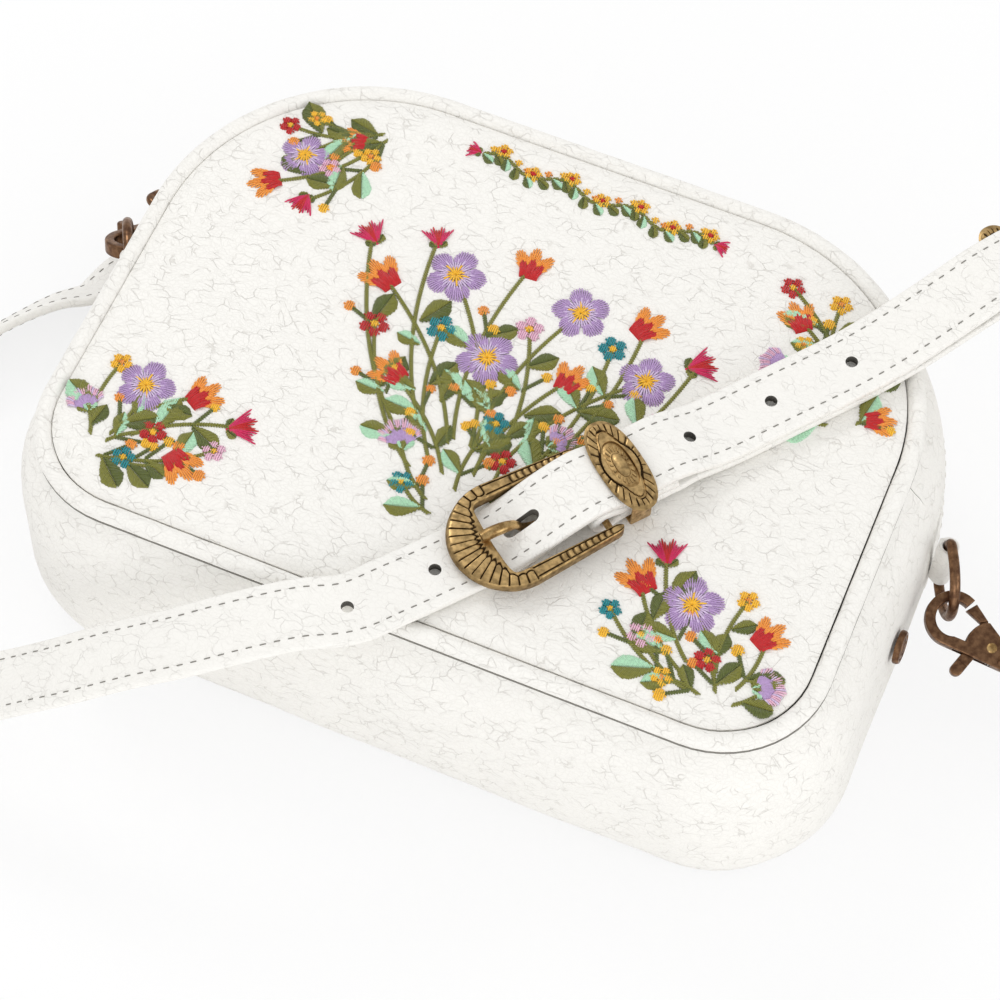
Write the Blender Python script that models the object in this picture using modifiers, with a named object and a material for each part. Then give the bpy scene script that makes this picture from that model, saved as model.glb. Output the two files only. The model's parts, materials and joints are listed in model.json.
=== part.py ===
"""A small camera bag of white leather with a buckled strap, lying on its back.

Metres, +Z up. The front panel faces up, +Y runs to the zip at the bag's top and +X to its right side.
The origin is on the back panel's rest face, under the middle of the front panel.
"""

import math

import bmesh
import bpy
from mathutils import Matrix, Vector

# Fits
GAP = 0.0003
OVERRUN = 0.002

# Body
BODY_WIDTH = 0.212
BODY_HEIGHT = 0.150
BODY_DEPTH = 0.0725
BOTTOM_RADIUS = 0.025
TOP_RADIUS = 0.059
BACK_SPREAD = 0.003
LEAN = 0.0046
BULGE = 0.0082
PANEL_THICKNESS = 0.0022
GUSSET_THICKNESS = 0.0020
PIPING_RADIUS = 0.0024
LINING_THICKNESS = 0.0006
LINING_INSET = 0.0030
BOTTOM_STEPS = 8
TOP_STEPS = 11
# The gusset's swelling past the straight line between the two pipings, from the back to the front
GUSSET_SHARES = [
    (0.0, 0.10), (0.03, 0.10), (0.07, 0.52), (0.14, 0.83), (0.27, 0.96), (0.45, 1.0),
    (0.62, 0.97), (0.77, 0.82), (0.88, 0.54), (0.965, 0.06), (1.0, 0.06),
]

# Slip pocket
POCKET_WIDTH = 0.110
POCKET_HEIGHT = 0.070
POCKET_DROP = 0.008

# Zip
ZIP_WINDOW = 0.010
TAPE_WIDTH = 0.012
TAPE_THICKNESS = 0.0008
TEETH_WIDTH = 0.0020
TEETH_DEPTH = 0.0020
TEETH_SPACING = 0.0016
STOP_LENGTH = 0.0025
STOP_PROUD = 0.0004
ZIP_END_ANGLE = math.radians(20)
SLIDER_ANGLE = math.radians(27)
SLIDER_LENGTH = 0.0135
SLIDER_WIDTH = 0.0088
SLIDER_PLATE = 0.0012
SLIDER_WEB = 0.0010
SLIDER_PLAY = 0.0006
BAIL_WIRE = 0.0006
BAIL_HALF_SPAN = 0.0026
BAIL_HEIGHT = 0.0030
PULL_LENGTH = 0.0220
PULL_WIDTH = 0.0064
PULL_THICKNESS = 0.0011
PULL_BAR = 0.0014
PULL_WINDOW_LENGTH = 0.0038
PULL_WINDOW_WIDTH = 0.0036

# Side rings and their leather tabs
RING_WIRE = 0.0015
RING_INSIDE = 0.020
RING_REACH = 0.0154
RING_CORNER = 0.0020
RING_DROP = 0.0015
RIGHT_RING_ANGLE = math.radians(-64)
LEFT_RING_ANGLE = math.radians(119)
LEFT_RING_LOW = 0.0060
TAB_LEATHER = 0.0010
TAB_WIDTH = 0.018
TAB_ROOT = 0.0026

# Side studs
STUD_RADIUS = 0.00475
STUD_HEIGHT = 0.0021
STUD_EDGE = 0.0006
STUD_SHANK = 0.0013
STUD_DROP = 0.030
STUD_SHARE = 0.47
BASE_RADIUS = 0.0040
BASE_THICKNESS = 0.0008

# Clasps
HOOK_INNER = 0.0049
HOOK_WIRE = 0.0028
HOOK_THICKNESS = 0.0040
HOOK_MOUTH_ANGLE = math.radians(80)
BODY_SHOULDER = 0.0083
BODY_SHOULDER_HALF = 0.0054
BODY_TAIL = 0.0187
BODY_TAIL_HALF = 0.0027
BARREL_RADIUS = 0.0029
BARREL_START = 0.0158
BARREL_END = 0.0206
SLOT_WIDTH = 0.0022
SLOT_START = 0.0050
SLOT_END = 0.0155
PIVOT_PLACE = 0.0129
PIVOT_RISE = 0.0003
PIVOT_RADIUS = 0.0019
PIN_RADIUS = 0.0009
PIN_PROUD = 0.0003
GATE_SWEEP = 0.0074
GATE_THICKNESS = 0.0030
TONGUE_THICKNESS = 0.0016
ARM_LOW = 0.0040
ARM_HIGH = 0.0072
ARM_TIP_LOW = 0.0013
ARM_TIP_HIGH = 0.0024
LEVER_WIDTH = 0.0034
LEVER_PLACE = 0.0093
LEVER_TIP = 0.0120
LEVER_PAD_START = 0.0078
SPRING_RADIUS = 0.0006
SPRING_WIRE = 0.0002
SPRING_TURNS = 3
SPRING_PITCH = 0.00075
SPRING_DROP = 0.0031
SPRING_PLACE = 0.0131
POST_RADIUS = 0.0012
POST_BORE = 0.0015
POST_DEPTH = 0.0032
HUB_RADIUS = 0.0024
HUB_LENGTH = 0.0020
EYE_WIRE = 0.0013
EYE_INSIDE = 0.0212
EYE_BAR_PLACE = 0.0300
EYE_CORNER = 0.0024
EYE_LEAD = 0.0120
RIGHT_CLASP_AXIS = Vector((0.935, -0.277, -0.179))
RIGHT_CLASP_FACE = Vector((0.10, -0.28, 0.955))
RIGHT_RING_PLACE = Vector((-0.0015, 0.0015, 0.0))
RIGHT_HANG_ANGLE = 0.0
LEFT_CLASP_AXIS = Vector((0.22, 0.85, -0.47))
LEFT_CLASP_FACE = Vector((0.22, -0.51, -0.83))
LEFT_RING_PLACE = Vector((-0.0003, 0.0, 0.0))
LEFT_HANG_ANGLE = math.radians(-30)

# Straps
STRAP_WIDTH = 0.020
STRAP_THICKNESS = 0.0026
STRAP_REST = 0.0004
ROUTE_STEP = 0.0070
FOLD_STEP = 0.0020
FOLD_TAPER = 0.0060
FOLD_STEPS = 8
HOLE_RADIUS = 0.0016
HOLE_PITCH = 0.0254
HOLE_COUNT = 7
PRONG_HOLE = 0.0100
PRONG_HOLE_LEAD = 0.0012
TIP_TAPER = 0.009
LONG_EYE_FOLD = 0.016
SHORT_EYE_FOLD = 0.034
BUCKLE_FOLD = 0.023

# The straight run across the front: where the fifth hole lies, and the heading
CROSSING_X = 0.0538
CROSSING_Y = -0.0019
CROSSING_HEADING = math.radians(52)
TIP_REACH = 0.115
# How far along the run each thing lies, from the fifth hole
BUCKLE_BAR_AT = -0.0310
FRAME_END_AT = -0.0715
FRAME_LIP_AT = -0.0600
ARM_TIP_AT = -0.0280
PRONG_HOLE_AT = -0.0520
KEEPER_INNER_AT = -0.0216
KEEPER_INNER_SIDE = -0.0005
KEEPER_OUTER_AT = 0.1053
KEEPER_OUTER_SIDE = 0.0030

# Buckle
BUCKLE_SIDE = -0.0010
FRAME_THICKNESS = 0.0034
FRAME_HALF_WIDTH = 0.0160
FRAME_TIP_HALF = 0.0140
FRAME_INNER_HALF = 0.0113
FRAME_SWELL = 0.0165
FRAME_CORNER = 0.0022
BAR_RADIUS = 0.0010
BAR_SEAT = 0.0017
PRONG_RADIUS = 0.0011
PRONG_EYE_WIDTH = 0.0034
PRONG_EYE_WALL = 0.0011
PRONG_SLOT = 0.0050
PRONG_TIP_RADIUS = 0.0015

# Keepers
KEEPER_LENGTH = 0.0290
KEEPER_WIDTH = 0.0125
KEEPER_PLATE = 0.0016
KEEPER_BAND = 0.0060
KEEPER_WALL = 0.0010
KEEPER_INSIDE = 0.0216
INNER_STACK = 0.0096
OUTER_STACK = 0.0034

# Free loops of the straps: shares of the body's half width, half height and depth, and the tilt
LEFT_LOOP_SHARES = [
    ((-1.177, 0.491, 0.072), 5), ((-1.232, 0.336, 0.095), 20), ((-1.284, 0.205, 0.116), 43),
    ((-1.348, 0.128, 0.123), 48), ((-1.405, 0.028, 0.128), 53), ((-1.457, -0.084, 0.132), 56),
    ((-1.514, -0.240, 0.135), 60), ((-1.623, -0.560, 0.141), 72), ((-1.708, -0.933, 0.148), 84),
    ((-1.717, -1.307, 0.152), 88), ((-1.585, -1.627, 0.166), 84), ((-1.321, -1.787, 0.248), 56),
    ((-1.123, -1.767, 0.359), 20), ((-1.007, -1.720, 0.455), 6), ((-0.857, -1.639, 0.600), 0),
    ((-0.709, -1.564, 0.745), 0), ((-0.569, -1.473, 0.862), 0), ((-0.434, -1.387, 0.959), 0),
    ((-0.308, -1.279, 1.021), 0), ((-0.185, -1.173, 1.062), 0),
]
RIGHT_LOOP_SHARES = [
    ((1.175, 1.211, 1.068), 0), ((1.283, 1.307, 1.014), -4), ((1.509, 1.373, 0.800), -24),
    ((1.800, 1.347, 0.441), -60), ((2.080, 1.080, 0.210), -86), ((2.189, 0.700, 0.160), -90),
    ((2.142, 0.300, 0.175), -90), ((1.940, 0.029, 0.270), -90),
]
# Along the run across the front, in shares of the long strap's reach past the fifth hole: how far each
# strap's middle stands above its rest on the front in strap thicknesses, and to the left in widths
LONG_RISE_SHARES = [
    (-0.883, 1.19, 0), (-0.765, 0.42, 0), (-0.643, 0.03, 0), (-0.513, 0.00, 0), (-0.448, 0.74, 0),
    (-0.365, 2.35, 0), (-0.304, 3.16, 0), (-0.270, 3.34, 0), (-0.235, 3.08, 0), (-0.204, 2.80, 0),
    (-0.139, 2.80, 0), (-0.061, 2.80, 0), (-0.017, 2.25, 0), (0.035, 1.45, 0), (0.087, 1.16, 0),
    (0.261, 1.16, 0), (0.435, 1.16, 0), (0.539, 1.50, 0.02), (0.635, 2.19, 0.05), (0.748, 3.10, 0.095),
    (0.826, 3.75, 0.125), (0.896, 3.95, 0.145), (0.957, 3.98, 0.165), (1.000, 3.95, 0.18),
]
SHORT_RISE_SHARES = [
    (-0.217, 1.10, 0), (-0.139, 1.10, 0), (-0.061, 1.02, 0), (0.017, 0.45, 0), (0.087, 0.02, 0),
    (0.261, 0.00, 0), (0.435, 0.00, 0), (0.539, 0.15, 0.02), (0.635, 0.54, 0.05), (0.748, 1.19, 0.095),
    (0.826, 1.58, 0.125), (0.916, 1.73, 0.149),
]

LEATHER = (0.86, 0.85, 0.81)
LINING = (0.72, 0.69, 0.62)
COTTON = (0.90, 0.89, 0.86)
BRASS = (0.36, 0.24, 0.09)
COPPER = (0.16, 0.085, 0.04)
STEEL = (0.55, 0.54, 0.52)


def material(name, colour, roughness, metallic):
    """A Principled material, made once."""
    found = bpy.data.materials.get(name)
    if found:
        return found
    made = bpy.data.materials.new(name)
    made.use_nodes = True
    shader = made.node_tree.nodes["Principled BSDF"]
    shader.inputs["Base Color"].default_value = (*colour, 1)
    shader.inputs["Roughness"].default_value = roughness
    shader.inputs["Metallic"].default_value = metallic
    return made


def leather():
    return material("white_leather", LEATHER, 0.55, 0)


def lining():
    return material("lining_cotton", LINING, 0.9, 0)


def woven():
    return material("zip_tape", COTTON, 0.85, 0)


def brass():
    return material("antique_brass", BRASS, 0.35, 1)


def copper():
    return material("antique_copper", COPPER, 0.4, 1)


def steel():
    return material("spring_steel", STEEL, 0.35, 1)


def collection(name):
    found = bpy.data.collections.get(name)
    if not found:
        found = bpy.data.collections.new(name)
        bpy.context.scene.collection.children.link(found)
    return found


def put(name, data, finish, matrix=None, parent=None):
    """A named object of the bag, at a world matrix or at one under its parent."""
    obj = bpy.data.objects.new(name, data)
    collection("mini_bag").objects.link(obj)
    if finish:
        data.materials.append(finish)
    obj.parent = parent
    if matrix is not None:
        obj.matrix_local = matrix
    return obj


def shade(mesh):
    mesh.shade_smooth()
    mesh.set_sharp_from_angle(angle=math.radians(35))


def modifier(obj, kind, **settings):
    added = obj.modifiers.new(kind.title(), kind)
    for key, value in settings.items():
        setattr(added, key, value)
    return added


def sheet(name, rows, columns, place, thickness, finish):
    """An open surface through place(row, column), thickened to both sides."""
    bm = bmesh.new()
    bmesh.ops.create_grid(bm, x_segments=rows - 1, y_segments=columns - 1, size=1)
    for vert in bm.verts:
        row = round((vert.co.x + 1) / 2 * (rows - 1))
        column = round((vert.co.y + 1) / 2 * (columns - 1))
        vert.co = place(row, column)
    mesh = bpy.data.meshes.new(name)
    bm.to_mesh(mesh)
    bm.free()
    shade(mesh)
    obj = put(name, mesh, finish)
    modifier(obj, "SOLIDIFY", thickness=thickness, offset=0, use_even_offset=True)
    return obj


def plate(name, outlines, thickness, finish, matrix=None, parent=None):
    """A flat outline, with holes where outlines nest, of a thickness about its own plane."""
    curve = bpy.data.curves.new(name, "CURVE")
    curve.dimensions = "2D"
    curve.fill_mode = "BOTH"
    curve.extrude = thickness / 2
    for outline in outlines:
        spline = curve.splines.new("POLY")
        spline.points.add(len(outline) - 1)
        spline.use_cyclic_u = True
        for point, (x, y) in zip(spline.points, outline):
            point.co = (x, y, 0, 1)
    return put(name, curve, finish, matrix, parent)


def tube(name, points, radius, finish, cyclic=False, resolution=2, swells=None, matrix=None, parent=None):
    """A wire or a rolled leather edge along points; swells gives each point's share of the radius."""
    curve = bpy.data.curves.new(name, "CURVE")
    curve.dimensions = "3D"
    curve.bevel_depth = radius
    curve.bevel_resolution = resolution
    curve.use_fill_caps = True
    spline = curve.splines.new("POLY")
    spline.points.add(len(points) - 1)
    spline.use_cyclic_u = cyclic
    for index, point in enumerate(points):
        spline.points[index].co = (*point, 1)
        spline.points[index].radius = swells[index] if swells else 1
    return put(name, curve, finish, matrix, parent)


def meshed(obj):
    """The same piece as a closed mesh in place of its curve."""
    bpy.context.view_layer.update()
    graph = bpy.context.evaluated_depsgraph_get()
    mesh = bpy.data.meshes.new_from_object(obj.evaluated_get(graph))
    bm = bmesh.new()
    bm.from_mesh(mesh)
    bmesh.ops.remove_doubles(bm, verts=bm.verts, dist=GAP / 100)
    bm.to_mesh(mesh)
    bm.free()
    name, finish, parent, matrix = obj.name, obj.data.materials[0], obj.parent, obj.matrix_local.copy()
    bpy.data.objects.remove(obj)
    mesh.materials.clear()
    return put(name, mesh, finish, matrix, parent)


def as_cutter(obj):
    """Moves a shape to the cutters, seen as wires only."""
    collection("mini_bag").objects.unlink(obj)
    collection("cutters").objects.link(obj)
    obj.name = obj.name + "_cutter"
    obj.hide_render = True
    obj.display_type = "WIRE"
    return obj


def cut(obj, cutter):
    modifier(obj, "BOOLEAN", operation="DIFFERENCE", object=as_cutter(cutter))


def unite(obj, other):
    modifier(obj, "BOOLEAN", operation="UNION", object=as_cutter(other))


def rod(name, radius, start, end, finish, parent=None, matrix=None, steps=16):
    """A round bar along its local Z from start to end."""
    bm = bmesh.new()
    shift = Matrix.Translation((0, 0, (start + end) / 2))
    bmesh.ops.create_cone(bm, cap_ends=True, segments=steps, radius1=radius, radius2=radius,
                          depth=end - start, matrix=shift)
    mesh = bpy.data.meshes.new(name)
    bm.to_mesh(mesh)
    bm.free()
    shade(mesh)
    return put(name, mesh, finish, matrix, parent)


def block(name, size, finish, matrix=None, parent=None):
    """A box of a size, centred on its origin."""
    bm = bmesh.new()
    bmesh.ops.create_cube(bm, size=1)
    bmesh.ops.scale(bm, vec=size, verts=bm.verts)
    mesh = bpy.data.meshes.new(name)
    bm.to_mesh(mesh)
    bm.free()
    return put(name, mesh, finish, matrix, parent)


def axes(origin, x_axis, z_axis):
    """A matrix at an origin, with its X along x_axis and its Z near z_axis."""
    x_axis = x_axis.normalized()
    z_axis = (z_axis - x_axis * z_axis.dot(x_axis)).normalized()
    y_axis = z_axis.cross(x_axis)
    matrix = Matrix((x_axis, y_axis, z_axis)).transposed().to_4x4()
    return Matrix.Translation(origin) @ matrix


def arc(centre, radius, first, last, steps):
    """Points of an arc in a plane."""
    points = []
    for step in range(steps + 1):
        angle = first + (last - first) * step / steps
        points.append((centre[0] + radius * math.cos(angle), centre[1] + radius * math.sin(angle)))
    return points


def lean(height):
    """How far the soft body leans to the right at a height."""
    return LEAN * (1 - height / BODY_DEPTH)


def seam_y():
    return BODY_HEIGHT / 2 - TOP_RADIUS


def corner(centre, radius, first, last, steps):
    """Stations round a corner: a point of the outline and the direction out of it."""
    stations = []
    for step in range(steps + 1):
        angle = first + (last - first) * step / steps
        out = Vector((math.cos(angle), math.sin(angle)))
        stations.append((Vector(centre) + out * radius, out))
    return stations


def top_centre(side):
    return (side * (BODY_WIDTH / 2 - TOP_RADIUS), seam_y())


def top_path(trim=0.0):
    """Stations from the right seam over the top to the left seam, less an angle at each end."""
    right = corner(top_centre(1), TOP_RADIUS, trim, math.pi / 2, TOP_STEPS)
    left = corner(top_centre(-1), TOP_RADIUS, math.pi / 2, math.pi - trim, TOP_STEPS)
    return right + left


def bottom_corners():
    x = BODY_WIDTH / 2 - BOTTOM_RADIUS
    y = BOTTOM_RADIUS - BODY_HEIGHT / 2
    left = corner((-x, y), BOTTOM_RADIUS, math.pi, math.pi * 1.5, BOTTOM_STEPS)
    right = corner((x, y), BOTTOM_RADIUS, math.pi * 1.5, math.pi * 2, BOTTOM_STEPS)
    return left + right


def bottom_path():
    """Stations from the left seam round the bottom to the right seam."""
    seam = seam_y() - GAP
    start = (Vector((-BODY_WIDTH / 2, seam)), Vector((-1, 0)))
    end = (Vector((BODY_WIDTH / 2, seam)), Vector((1, 0)))
    return [start] + bottom_corners() + [end]


def on_body(station, offset, height):
    point, out = station
    spot = point + out * offset
    return Vector((spot.x + lean(height), spot.y, height))


def gusset_low():
    return PIPING_RADIUS * 2 + GAP * 2


def gusset_high():
    return BODY_DEPTH - PIPING_RADIUS * 2 - GAP


def gusset_offset(height):
    """How far the middle of the gusset's leather stands out of the front panel's outline."""
    share = (height - gusset_low()) / (gusset_high() - gusset_low())
    share = min(max(share, 0), 1)
    swell = 0.0
    for (low, low_swell), (high, high_swell) in zip(GUSSET_SHARES, GUSSET_SHARES[1:]):
        if low <= share <= high:
            swell = low_swell + (high_swell - low_swell) * (share - low) / (high - low)
    straight = PIPING_RADIUS + GAP + BACK_SPREAD * (1 - share)
    return straight + BULGE * swell


def surface_offset(height):
    """The same for the gusset's outer face."""
    return gusset_offset(height) + GUSSET_THICKNESS / 2


def profile_heights(low, high):
    """The gusset's table heights between two heights, with these as the ends."""
    span = gusset_high() - gusset_low()
    heights = [gusset_low() + span * share for share, _ in GUSSET_SHARES]
    return [low] + [height for height in heights if low + OVERRUN < height < high - OVERRUN] + [high]


def band(name, path, heights, inset, thickness, finish):
    """A strip of leather, cloth or metal that follows the gusset, set in from its middle."""
    def place(row, column):
        height = heights[column]
        return on_body(path[row], gusset_offset(height) - inset, height)
    return sheet(name, len(path), len(heights), place, thickness, finish)


def panel(name, spread, height, thickness, finish):
    """A flat panel of the body's outline, its middle at a height."""
    stations = top_path() + bottom_corners()
    outline = [(point + out * spread)[:] for point, out in stations]
    return plate(name, [outline], thickness, finish, Matrix.Translation((lean(height), 0, height)))


def piping(name, spread, height):
    """Leather rolled over a cord, all round one panel."""
    points = [on_body(station, spread, height) for station in top_path() + bottom_corners()]
    return tube(name, points, PIPING_RADIUS, leather(), cyclic=True)


def shell():
    """The two panels, their pipings and the bottom gusset."""
    panel("front_panel", 0, BODY_DEPTH - PANEL_THICKNESS / 2, PANEL_THICKNESS, leather())
    panel("back_panel", BACK_SPREAD, PANEL_THICKNESS / 2, PANEL_THICKNESS, leather())
    piping("front_piping", PIPING_RADIUS + GAP, BODY_DEPTH - PIPING_RADIUS)
    piping("back_piping", BACK_SPREAD + PIPING_RADIUS + GAP, PIPING_RADIUS + GAP)
    heights = profile_heights(gusset_low(), gusset_high())
    return band("bottom_gusset", bottom_path(), heights, 0, GUSSET_THICKNESS, leather())


def zip_middle():
    return BODY_DEPTH / 2


def mirrored_heights(low, high, side):
    """Heights of a strip on one side of the zip: +1 toward the front, -1 toward the back."""
    if side > 0:
        return profile_heights(zip_middle() + low, zip_middle() + high)
    return profile_heights(zip_middle() - high, zip_middle() - low)


def tape_inset():
    return GUSSET_THICKNESS / 2 + GAP + TAPE_THICKNESS / 2


def zip_strips():
    """The two leather bands beside the zip, their tapes and the two rows of teeth."""
    window = ZIP_WINDOW / 2
    teeth = TEETH_SPACING / 2
    tape = teeth + TEETH_WIDTH + GAP
    for side, word in ((1, "front"), (-1, "back")):
        reach = gusset_high() - zip_middle() if side > 0 else zip_middle() - gusset_low()
        band("zip_gusset_" + word, top_path(), mirrored_heights(window, reach, side), 0,
             GUSSET_THICKNESS, leather())
        band("zip_tape_" + word, top_path(), mirrored_heights(tape, tape + TAPE_WIDTH, side), tape_inset(),
             TAPE_THICKNESS, woven())
        heights = mirrored_heights(teeth, teeth + TEETH_WIDTH, side)
        band("zip_teeth_" + word, top_path(ZIP_END_ANGLE), heights, tape_inset(), TEETH_DEPTH, brass())


def zip_radius():
    """From a top corner's centre to the middle of the teeth."""
    return TOP_RADIUS + gusset_offset(zip_middle()) - tape_inset()


def corner_matrix(side, angle):
    """At a top corner's centre on the zip's middle plane, X pointing out at an angle above the side."""
    x, y = top_centre(side)
    turn = angle if side > 0 else math.pi - angle
    out = Vector((math.cos(turn), math.sin(turn), 0))
    tangent = out.cross(Vector((0, 0, 1)))
    return axes(Vector((x + lean(zip_middle()), y, zip_middle())), out, tangent)


def zip_stops():
    """Metal blocks clamped round the tapes past both ends of the teeth."""
    thick = TEETH_DEPTH + STOP_PROUD * 2
    width = TEETH_SPACING + TEETH_WIDTH * 2
    turn = (STOP_LENGTH / 2 + GAP) / zip_radius()
    for side, name in ((-1, "zip_stop_closed"), (1, "zip_stop_open")):
        place = Matrix.Translation((zip_radius(), 0, 0))
        matrix = corner_matrix(side, ZIP_END_ANGLE - turn) @ place
        block(name, (thick, width, STOP_LENGTH), brass(), matrix)


def zip_slider():
    """The slider, an I in section round the teeth, with the bail that holds its pull."""
    half = SLIDER_WIDTH / 2
    web = SLIDER_WEB / 2
    inner = zip_radius() - TEETH_DEPTH / 2 - SLIDER_PLAY
    outer = zip_radius() + TEETH_DEPTH / 2 + SLIDER_PLAY
    right = [(outer + SLIDER_PLATE, half), (outer, half), (outer, web),
             (inner, web), (inner, half), (inner - SLIDER_PLATE, half)]
    left = [(x, -y) for x, y in reversed(right)]
    matrix = corner_matrix(-1, SLIDER_ANGLE)
    slider = meshed(plate("zip_slider", [right + left], SLIDER_LENGTH, brass(), matrix))
    root = outer + SLIDER_PLATE - BAIL_WIRE
    crown = outer + SLIDER_PLATE + BAIL_HEIGHT
    shoulder = BAIL_HALF_SPAN * 0.7
    arch = [(root, 0, -BAIL_HALF_SPAN), (crown - shoulder, 0, -BAIL_HALF_SPAN), (crown, 0, -shoulder),
            (crown, 0, shoulder), (crown - shoulder, 0, BAIL_HALF_SPAN), (root, 0, BAIL_HALF_SPAN)]
    bail = meshed(tube("zip_bail", arch, BAIL_WIRE, brass(), matrix=matrix))
    unite(slider, bail)
    axis = Vector((outer + SLIDER_PLATE + BAIL_HEIGHT / 2 - BAIL_WIRE / 2, 0, 0))
    zip_pull(matrix @ axis, matrix)


def zip_pull(place, slider_matrix):
    """A flat pull threaded on the bail, lying along the zip toward the bag's top."""
    along = -(slider_matrix.to_3x3() @ Vector((0, 0, 1)))
    if along.y < 0:
        along = -along
    out = slider_matrix.to_3x3() @ Vector((1, 0, 0))
    half = PULL_WIDTH / 2
    back = -PULL_BAR / 2
    nose = PULL_WIDTH * 0.3
    outline = [(back, -half * 0.8), (back, half * 0.8), (PULL_LENGTH * 0.3, half * 0.8),
               (PULL_LENGTH * 0.4, half * 0.6), (PULL_LENGTH - nose, half), (PULL_LENGTH, half - nose / 2),
               (PULL_LENGTH, nose / 2 - half), (PULL_LENGTH - nose, -half),
               (PULL_LENGTH * 0.4, -half * 0.6), (PULL_LENGTH * 0.3, -half * 0.8)]
    near, far = PULL_BAR / 2, PULL_BAR / 2 + PULL_WINDOW_LENGTH
    side = PULL_WINDOW_WIDTH / 2
    window = [(near, -side), (near, side), (far, side), (far, -side)]
    plate("zip_pull", [outline, window], PULL_THICKNESS, brass(), axes(place, along, out))


def linings():
    """Cotton inside the panels, round the bottom and beside the zip, and the pocket on the back."""
    front = BODY_DEPTH - PANEL_THICKNESS - GAP - LINING_THICKNESS / 2
    back = PANEL_THICKNESS + GAP + LINING_THICKNESS / 2
    panel("lining_front", -GAP * 2, front, LINING_THICKNESS, lining())
    panel("lining_back", BACK_SPREAD - GAP * 2, back, LINING_THICKNESS, lining())
    low = back + LINING_THICKNESS / 2 + GAP + PIPING_RADIUS
    high = front - LINING_THICKNESS / 2 - GAP - PIPING_RADIUS
    path = bottom_path()
    band("lining_gusset", path, profile_heights(low, high), LINING_INSET, LINING_THICKNESS, lining())
    start = SLIDER_WIDTH / 2 + SLIDER_PLAY * 2
    band("lining_zip_front", top_path(), profile_heights(zip_middle() + start, high), LINING_INSET,
         LINING_THICKNESS, lining())
    band("lining_zip_back", top_path(), profile_heights(low, zip_middle() - start), LINING_INSET,
         LINING_THICKNESS, lining())
    height = back + LINING_THICKNESS + GAP
    place = Matrix.Translation((lean(height), -POCKET_DROP, height))
    block("slip_pocket", (POCKET_WIDTH, POCKET_HEIGHT, LINING_THICKNESS), lining(), place)


def side_reach(side, height):
    """How far a side's outer face stands from the bag's middle at a height."""
    return BODY_WIDTH / 2 + surface_offset(height) + side * lean(height)


def ring_bar(side):
    """The middle of a side ring's straight bar, in its leather tab."""
    tab = RING_WIRE + GAP + TAB_LEATHER
    half = TAB_WIDTH / 2
    height = zip_middle() if side > 0 else zip_middle() - LEFT_RING_LOW
    reach = max(side_reach(side, height + half * share) for share in (-1, 0, 1))
    return Vector((side * (reach + GAP * 2 + tab), seam_y() - RING_DROP, height))


def ring_matrix(side):
    angle = RIGHT_RING_ANGLE if side > 0 else LEFT_RING_ANGLE
    reach = Vector((math.cos(angle), math.sin(angle), 0))
    return axes(ring_bar(side), reach, reach.cross(Vector((0, 0, 1))))


def ring_bend():
    return RING_INSIDE / 2 + RING_WIRE


def side_ring(side, name):
    """A D ring of round wire: a straight bar, two short legs and a half round."""
    half = ring_bend()
    turn = RING_CORNER
    outline = arc((turn, turn - half), turn, math.pi * 1.5, math.pi, 3)
    outline += arc((turn, half - turn), turn, math.pi, math.pi / 2, 3)
    outline += arc((RING_REACH - half, 0), half, math.pi / 2, -math.pi / 2, 14)
    points = [(x, y, 0) for x, y in outline]
    tube(name, points, RING_WIRE, copper(), cyclic=True, matrix=ring_matrix(side))


def ring_tab(side, name):
    """Leather folded round the ring's bar, its root in the side seam."""
    inner = RING_WIRE + GAP
    outer = inner + TAB_LEATHER
    outline = arc((0, 0), outer, math.radians(-115), math.radians(115), 10)
    outline += [(-outer - GAP, TAB_ROOT / 2), (-outer - GAP, -TAB_ROOT / 2)]
    hole = arc((0, 0), inner, 0, math.pi * 2 * 15 / 16, 15)
    matrix = axes(ring_bar(side), Vector((side, 0, 0)), Vector((0, 0, 1)))
    plate(name, [outline, hole], TAB_WIDTH, leather(), matrix)


def stud_matrix(side):
    """On the gusset's outer face, X along the stud's shank and out of the bag."""
    height = BODY_DEPTH * STUD_SHARE
    low = side_reach(side, height - STUD_RADIUS)
    high = side_reach(side, height + STUD_RADIUS)
    place = Vector((side * side_reach(side, height), seam_y() - STUD_DROP, height))
    return axes(place, Vector((side, 0, (low - high) / (STUD_RADIUS * 2))), Vector((0, 0, 1)))


def along_x():
    """Turns a shape made along Z to lie along X."""
    return Matrix.Rotation(math.pi / 2, 4, "Y")


def side_stud(side, word, gusset):
    """A cap outside the gusset, its shank through it, and the washer that holds it inside."""
    inside = GUSSET_THICKNESS + GAP
    foot = -inside - BASE_THICKNESS
    top = GAP + STUD_HEIGHT
    profile = [(0, top), (STUD_RADIUS - STUD_EDGE * 3, top - STUD_EDGE / 3), (STUD_RADIUS, top - STUD_EDGE),
               (STUD_RADIUS, GAP), (STUD_SHANK, GAP), (STUD_SHANK, foot), (0, foot)]
    mesh = bpy.data.meshes.new(word + "_stud")
    mesh.from_pydata([(x, 0, z) for x, z in profile], [(i, i + 1) for i in range(len(profile) - 1)], [])
    stud = put(word + "_stud", mesh, copper(), stud_matrix(side) @ along_x())
    modifier(stud, "SCREW", angle=math.pi * 2, steps=20, render_steps=20, use_merge_vertices=True,
             merge_threshold=GAP / 10)
    base = arc((0, 0), BASE_RADIUS, 0, math.pi * 2 * 19 / 20, 19)
    bore = arc((0, 0), STUD_SHANK + GAP, 0, math.pi * 2 * 15 / 16, 15)
    place = Matrix.Translation((0, 0, -inside - BASE_THICKNESS / 2))
    plate(word + "_stud_base", [base, bore], BASE_THICKNESS, copper(), stud_matrix(side) @ along_x() @ place)
    matrix = stud_matrix(side) @ along_x()
    cutter = rod(word + "_stud_hole", STUD_SHANK + GAP, -GUSSET_THICKNESS - OVERRUN, OVERRUN, None,
                 matrix=matrix)
    cut(gusset, cutter)


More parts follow.
